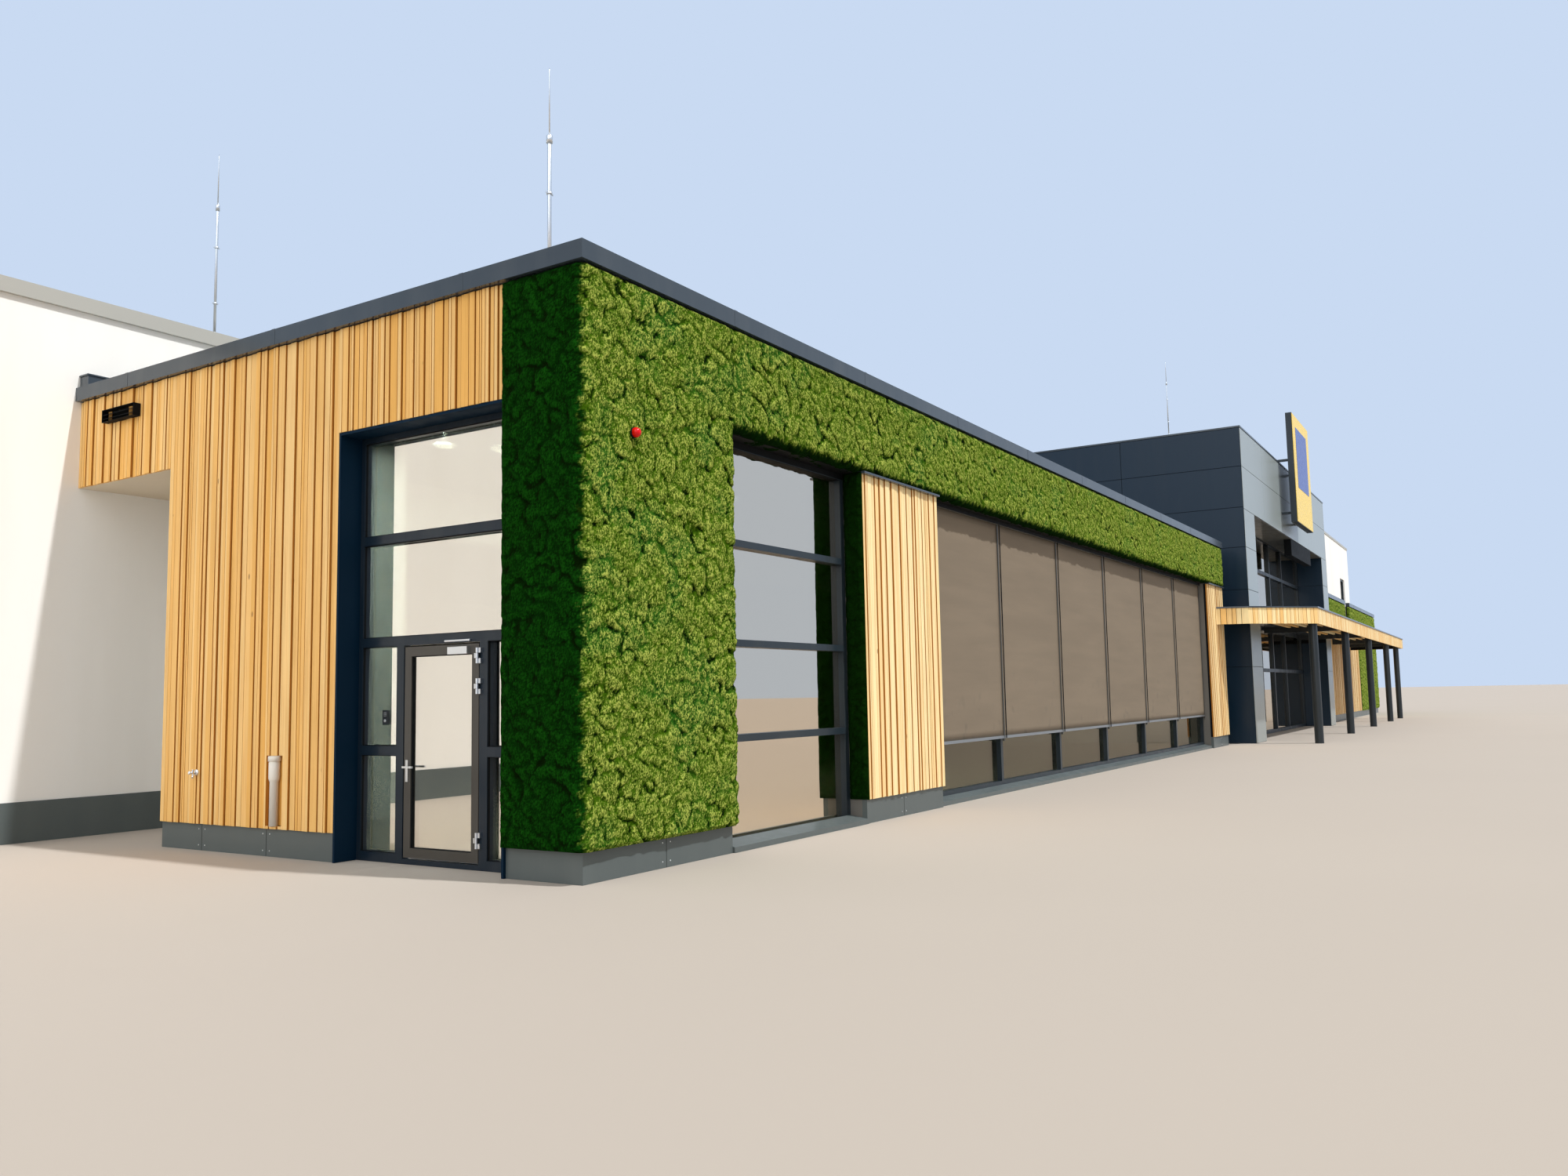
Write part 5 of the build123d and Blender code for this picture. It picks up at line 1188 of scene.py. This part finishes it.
class DressFittings(bpy.types.Operator):
    """Alarm light, vent hood, garden tap, standpipe, call unit, room lamps and the plinth's joints"""

    bl_idname = "building.dress_fittings"
    bl_label = "Small fittings"

    def execute(self, context):
        self.beacon()
        self.vent_hood()
        self.water_points()
        self.call_unit()
        self.plinth_joints()
        self.room_lamps()
        return {"FINISHED"}

    def beacon(self):
        """A round red lens on a black base, on the front's moss."""
        low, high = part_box("alarm_beacon")
        radius, reach = (high.x - low.x) / 2, high.y - low.y
        centre = ((low.x + high.x) / 2, high.y, (low.z + high.z) / 2)
        lens, base, rim = Shape(), Shape(), radius * 0.92
        steps = [(math.cos(step * math.pi / 14), math.sin(step * math.pi / 14)) for step in range(7)]
        dome = [(rim * width + 0.0005, reach * (0.45 + 0.55 * rise)) for width, rise in steps]
        lens.turned(centre, [(rim, reach * 0.25)] + dome, 28, (0, -1, 0))
        lens.make("beacon_lens", "red_lens", replaces=("alarm_beacon",))
        base.turned(centre, ((radius, -0.02), (radius, reach * 0.25), (radius * 0.9, reach * 0.32)), 28,
                    (0, -1, 0))
        base.make("beacon_base", "black_rubber")

    def vent_hood(self):
        """A black hood with an open front and two sloping blades."""
        low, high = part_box("vent_box")
        back, front, sheet = CORNER_X + 0.010, low.x, 0.003
        left, right, floor, head = low.y + sheet, high.y - sheet, low.z + sheet, high.z - sheet
        hood = Shape()
        for x0, y0, y1, z0, z1 in (
                (front, low.y, high.y, head, high.z), (front, low.y, high.y, low.z, floor),
                (front, low.y, left, floor, head), (front, right, high.y, floor, head),
                (back - sheet, left, right, floor, head)):
            hood.block((x0, y0, z0), (back, y1, z1), 0.0006)
        for level in (low.z + 0.022, low.z + 0.048):
            outline = [(front + 0.004, level), (front + 0.004, level - sheet),
                       (back - 0.006, level + 0.015), (back - 0.006, level + 0.018)]
            hood.prism(outline, left, right, axes=(0, 2, 1))
        hood.make("vent_hood", "black_rubber", replaces=("vent_box",))

    def water_points(self):
        """Garden tap with rosette, knob and spout, and the capped standpipe in its niche."""
        wall, out = (CORNER_X + 0.010, RECESS_END_Y + 1.215, 0.440), (-1, 0, 0)
        spout = (wall[0] - 0.028, *wall[1:])
        tap, pipe = Shape(), Shape()
        for centre, sides, toward, profile in (
                (wall, 24, out, ((0.0185, 0.0), (0.0185, 0.008), (0.014, 0.013), (0.008, 0.014))),
                (wall, 16, out, ((0.0075, 0.010), (0.0075, 0.044))),
                (wall, 20, out, ((0.0070, 0.042), (0.0105, 0.045), (0.0105, 0.051), (0.0070, 0.053))),
                (spout, 14, (0, 0, -1), (
                    (0.0060, 0.0), (0.0052, 0.018), (0.0068, 0.019), (0.0068, 0.024), (0.0050, 0.034))),
                (spout, 14, (0, 0, 1), ((0.0045, 0.0), (0.0045, 0.013), (0.0080, 0.014), (0.0080, 0.017)))):
            tap.turned(centre, profile, sides, toward)
        tap.make("garden_tap", "polished_chrome", replaces=("water_taps",))
        pipe.turned(
            (CORNER_X + 0.008, RECESS_END_Y + 0.497, 0.166),
            ((0.0225, 0.0), (0.0225, 0.238), (0.0245, 0.240), (0.0290, 0.256), (0.0290, 0.340),
             (0.0270, 0.342), (0.0270, 0.345), (0.0330, 0.347), (0.0330, 0.372), (0.0300, 0.375)), 32)
        pipe.make("standpipe", "white_pipe")

    def call_unit(self):
        """Round push button and speaker slots on the call box."""
        low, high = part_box("call_box")
        middle = (low.y + high.y) / 2
        face = Shape()
        face.turned((low.x, middle, low.z + 0.022), ((0.0075, -0.001), (0.0075, 0.002), (0.006, 0.003)), 20,
                    (-1, 0, 0))
        for z in (high.z - 0.014 - row * 0.006 for row in range(4)):
            face.block((low.x - 0.0008, middle - 0.011, z), (low.x + 0.001, middle + 0.011, z + 0.002),
                       0.0003)
        face.make("call_face", "brushed_steel")

    def plinth_joints(self):
        """Dark joint strips and screw heads on the plinth's panels."""
        joints, screws = Shape(), Shape()
        top = PLINTH_TOP
        marks = [(CORNER_X + at, FRONT_Y + 0.025, 1) for at in (0.62, 3.2, 13.15)]
        marks += [(FRONT_Y + at, CORNER_X + 0.025, -1) for at in (2.3, 2.9)]
        for at, face, turn in marks:
            low, high = (at - 0.0015, face - 0.0006), (at + 0.0015, face + 0.001)
            joints.block((*low[::turn], 0.0), (*high[::turn], top), 0.0003)
            for place in ((at + side, face)[::turn] for side in (-0.03, 0.03)):
                for z in (0.03, top - 0.03):
                    screws.turned((*place, z), ((0.004, -0.001), (0.004, 0.001), (0.002, 0.002)), 10,
                                  (*(0, -1)[::turn], 0))
        joints.make("plinth_joints", "black_rubber")
        screws.make("plinth_screws", "brushed_steel")

    def room_lamps(self):
        """Round flat lamps under the ceilings behind the door and the shop window."""
        lamps = Shape()
        places = [(1.30, 2.38, 0.17, 0.062), (0.80, 1.00, 0.17, 0.062)]
        places += [(x, y, 0.0, 0.13) for x in (2.2, 3.6, 5.0) for y in (1.2, 2.7)]
        for x, y, hang, radius in places:
            lamps.turned(
                (CORNER_X + x, FRONT_Y + y, BAND_BOTTOM + 0.431),
                ((0.006, 0.0), (0.006, hang + 0.002), (radius, hang + 0.002), (radius, hang + 0.016),
                 (radius * 0.92, hang + 0.022)), 36, (0, 0, -1))
        lamps.make("room_lamps", "lamp_diffuser")


class DressSign(bpy.types.Operator):
    """Plain field on the sign box's face"""

    bl_idname = "building.dress_sign"
    bl_label = "Sign field"

    def execute(self, context):
        low, high = SIGN
        margin = (high.x - low.x) * 0.16
        blocks("sign_field", "sign_field_blue", [
            ((low.x + margin, low.y - 0.003, low.z + 0.62),
             (high.x - margin, low.y + 0.002, high.z - 0.2))], 0.001)
        return {"FINISHED"}


class SetStage(bpy.types.Operator):
    """Plain pale floor, soft key and fill light, and the camera of the photograph"""

    bl_idname = "building.set_stage"
    bl_label = "Stage"

    # The camera was solved from the building's straight edges in the photograph
    camera_from_corner = (-3.897, -3.4985, 0.81)
    look = (0.84406, 0.52815, 0.09281)
    right = (0.53184, -0.84664, -0.01888)
    lens_mm = 26.68
    half = 400.0
    # Height, turn and width of each light in degrees. The key light's direction comes from two shadows in
    # the photograph; a broad light from the left lifts the end that the key light doesn't reach
    suns = {"key_light": (56.5, 9.5, 1.5), "side_light": (35.0, -75.0, 70.0)}

    def execute(self, context):
        scene, stage = context.scene, context.scene.building_stage
        self.floor(scene, stage)
        for (name, angles), energy in zip(self.suns.items(), (stage.sun, stage.side)):
            height, turn, width = map(math.radians, angles)
            light = self.light(scene, name, "SUN", energy, angle=width)
            light.rotation_euler = (math.pi / 2 - height, 0, turn)
        self.room_lights(scene, stage)
        self.world(scene, stage)
        self.camera(scene)
        scene.view_settings.view_transform = "Standard"
        return {"FINISHED"}

    def floor(self, scene, stage):
        """A wide pale floor at ground level, shown evenly to the camera and shadowed by the building."""
        add, shader, place = new_material("pale_floor", Roughness=0.9)
        _, cloudy = mottled(add, place, darker(stage.floor, 0.95), stage.floor, 2500, 3.0)
        join(shader, {"Base Color": cloudy})
        mesh = bpy.data.meshes.new("floor")
        corners = ((-1, -1), (1, -1), (1, 1), (-1, 1))
        mesh.from_pydata([(x * self.half, y * self.half, 0) for x, y in corners], [], [range(4)])
        mesh.materials.append(bpy.data.materials["pale_floor"])
        floor = bpy.data.objects.new("floor", mesh)
        floor.location.z = -0.0005
        scene.collection.objects.link(floor)

    def light(self, scene, name, kind, energy, **settings):
        """One light in the scene."""
        data = bpy.data.lights.new(name, kind)
        for field, value in {"energy": energy, **settings}.items():
            setattr(data, field, value)
        light = bpy.data.objects.new(name, data)
        scene.collection.objects.link(light)
        return light

    def room_lights(self, scene, stage):
        """Even light under the ceilings behind the door and the shop window."""
        for name, share, x0, x1, y0, y1 in (
                ("door_room_light", 11.0, CORNER_X + 0.35, CORNER_X + 1.35, FRONT_Y + 0.4, PASSAGE_Y - 0.3),
                ("wing_room_light", 1.0, CORNER_X + 2.0, STRIP_X + 3.0, FRONT_Y + 0.6, HALL_Y - 0.4)):
            width, depth = x1 - x0, y1 - y0
            light = self.light(scene, name, "AREA", stage.rooms * share * width * depth,
                               shape="RECTANGLE", size=width, size_y=depth)
            light.visible_camera = light.visible_glossy = False
            light.location = ((x0 + x1) / 2, (y0 + y1) / 2, FASCIA[1].z - 0.31)

    def world(self, scene, stage):
        """Even light all round, with a backdrop that is seen directly, mirrored and through glass."""
        scene.world = bpy.data.worlds.new("studio")
        scene.world.use_nodes = True
        scene.world.node_tree.nodes.clear()
        add = functools.partial(add_node, scene.world.node_tree)
        light = add("Background", {"Color": (1, 1, 1, 1), "Strength": stage.fill})
        shown = add("Background", {"Color": tuple(stage.backdrop), "Strength": 1.0})
        sight = add("LightPath", out="Is Camera Ray")
        for kind in ("Is Glossy Ray", "Is Transmission Ray"):
            other = add("LightPath", out=kind)
            sight = add("Math", {0: sight, 1: other}, operation="MAXIMUM")
        mixed = add("MixShader", {0: sight, 1: light, 2: shown})
        add("OutputWorld", {"Surface": mixed})

    def camera(self, scene):
        """The photograph's camera."""
        look, right = Vector(self.look).normalized(), Vector(self.right).normalized()
        up = right.cross(look).normalized()
        data = bpy.data.cameras.new("photograph_camera")
        data.lens, data.sensor_width, data.sensor_fit = self.lens_mm, 36.0, "HORIZONTAL"
        data.clip_end = 1000.0
        camera = bpy.data.objects.new("photograph_camera", data)
        place = Vector((CORNER_X, FRONT_Y, 0)) + Vector(self.camera_from_corner)
        turn = Matrix((look.cross(up), up, -look)).transposed().to_4x4()
        camera.matrix_world = Matrix.Translation(place) @ turn
        scene.collection.objects.link(camera)
        scene.camera = camera


OPERATORS = (FinishFrame, DressMoss, DressTimber, DressScreens, DressTower, DressCanopy, DressGlazing,
             DressRoof, DressFittings, DressSign, SetStage)


class BuildingPanel(bpy.types.Panel):
    """Lists the building's settings and the steps that dress it"""

    bl_idname = "VIEW3D_PT_building"
    bl_label = "Building"
    bl_space_type = "VIEW_3D"
    bl_region_type = "UI"
    bl_category = "Building"

    def draw(self, context):
        for name, group in SETTINGS.items():
            box = self.layout.box()
            for field in group.__annotations__:
                box.prop(getattr(context.scene, name), field)
        for operator in OPERATORS:
            self.layout.operator(operator.bl_idname)


def register():
    for kind in (*SETTINGS.values(), *OPERATORS, BuildingPanel):
        bpy.utils.register_class(kind)
    for name, group in SETTINGS.items():
        setattr(bpy.types.Scene, name, bpy.props.PointerProperty(type=group))


def unregister():
    for name in SETTINGS:
        delattr(bpy.types.Scene, name)
    for kind in (BuildingPanel, *OPERATORS, *SETTINGS.values()):
        bpy.utils.unregister_class(kind)


def main():
    register()
    bpy.ops.building.finish_frame()
    bpy.ops.building.dress_moss()
    bpy.ops.building.dress_timber()
    bpy.ops.building.dress_screens()
    bpy.ops.building.dress_tower()
    bpy.ops.building.dress_canopy()
    bpy.ops.building.dress_glazing()
    bpy.ops.building.dress_roof()
    bpy.ops.building.dress_fittings()
    bpy.ops.building.dress_sign()
    bpy.ops.building.set_stage()


if __name__ == "__main__":
    main()
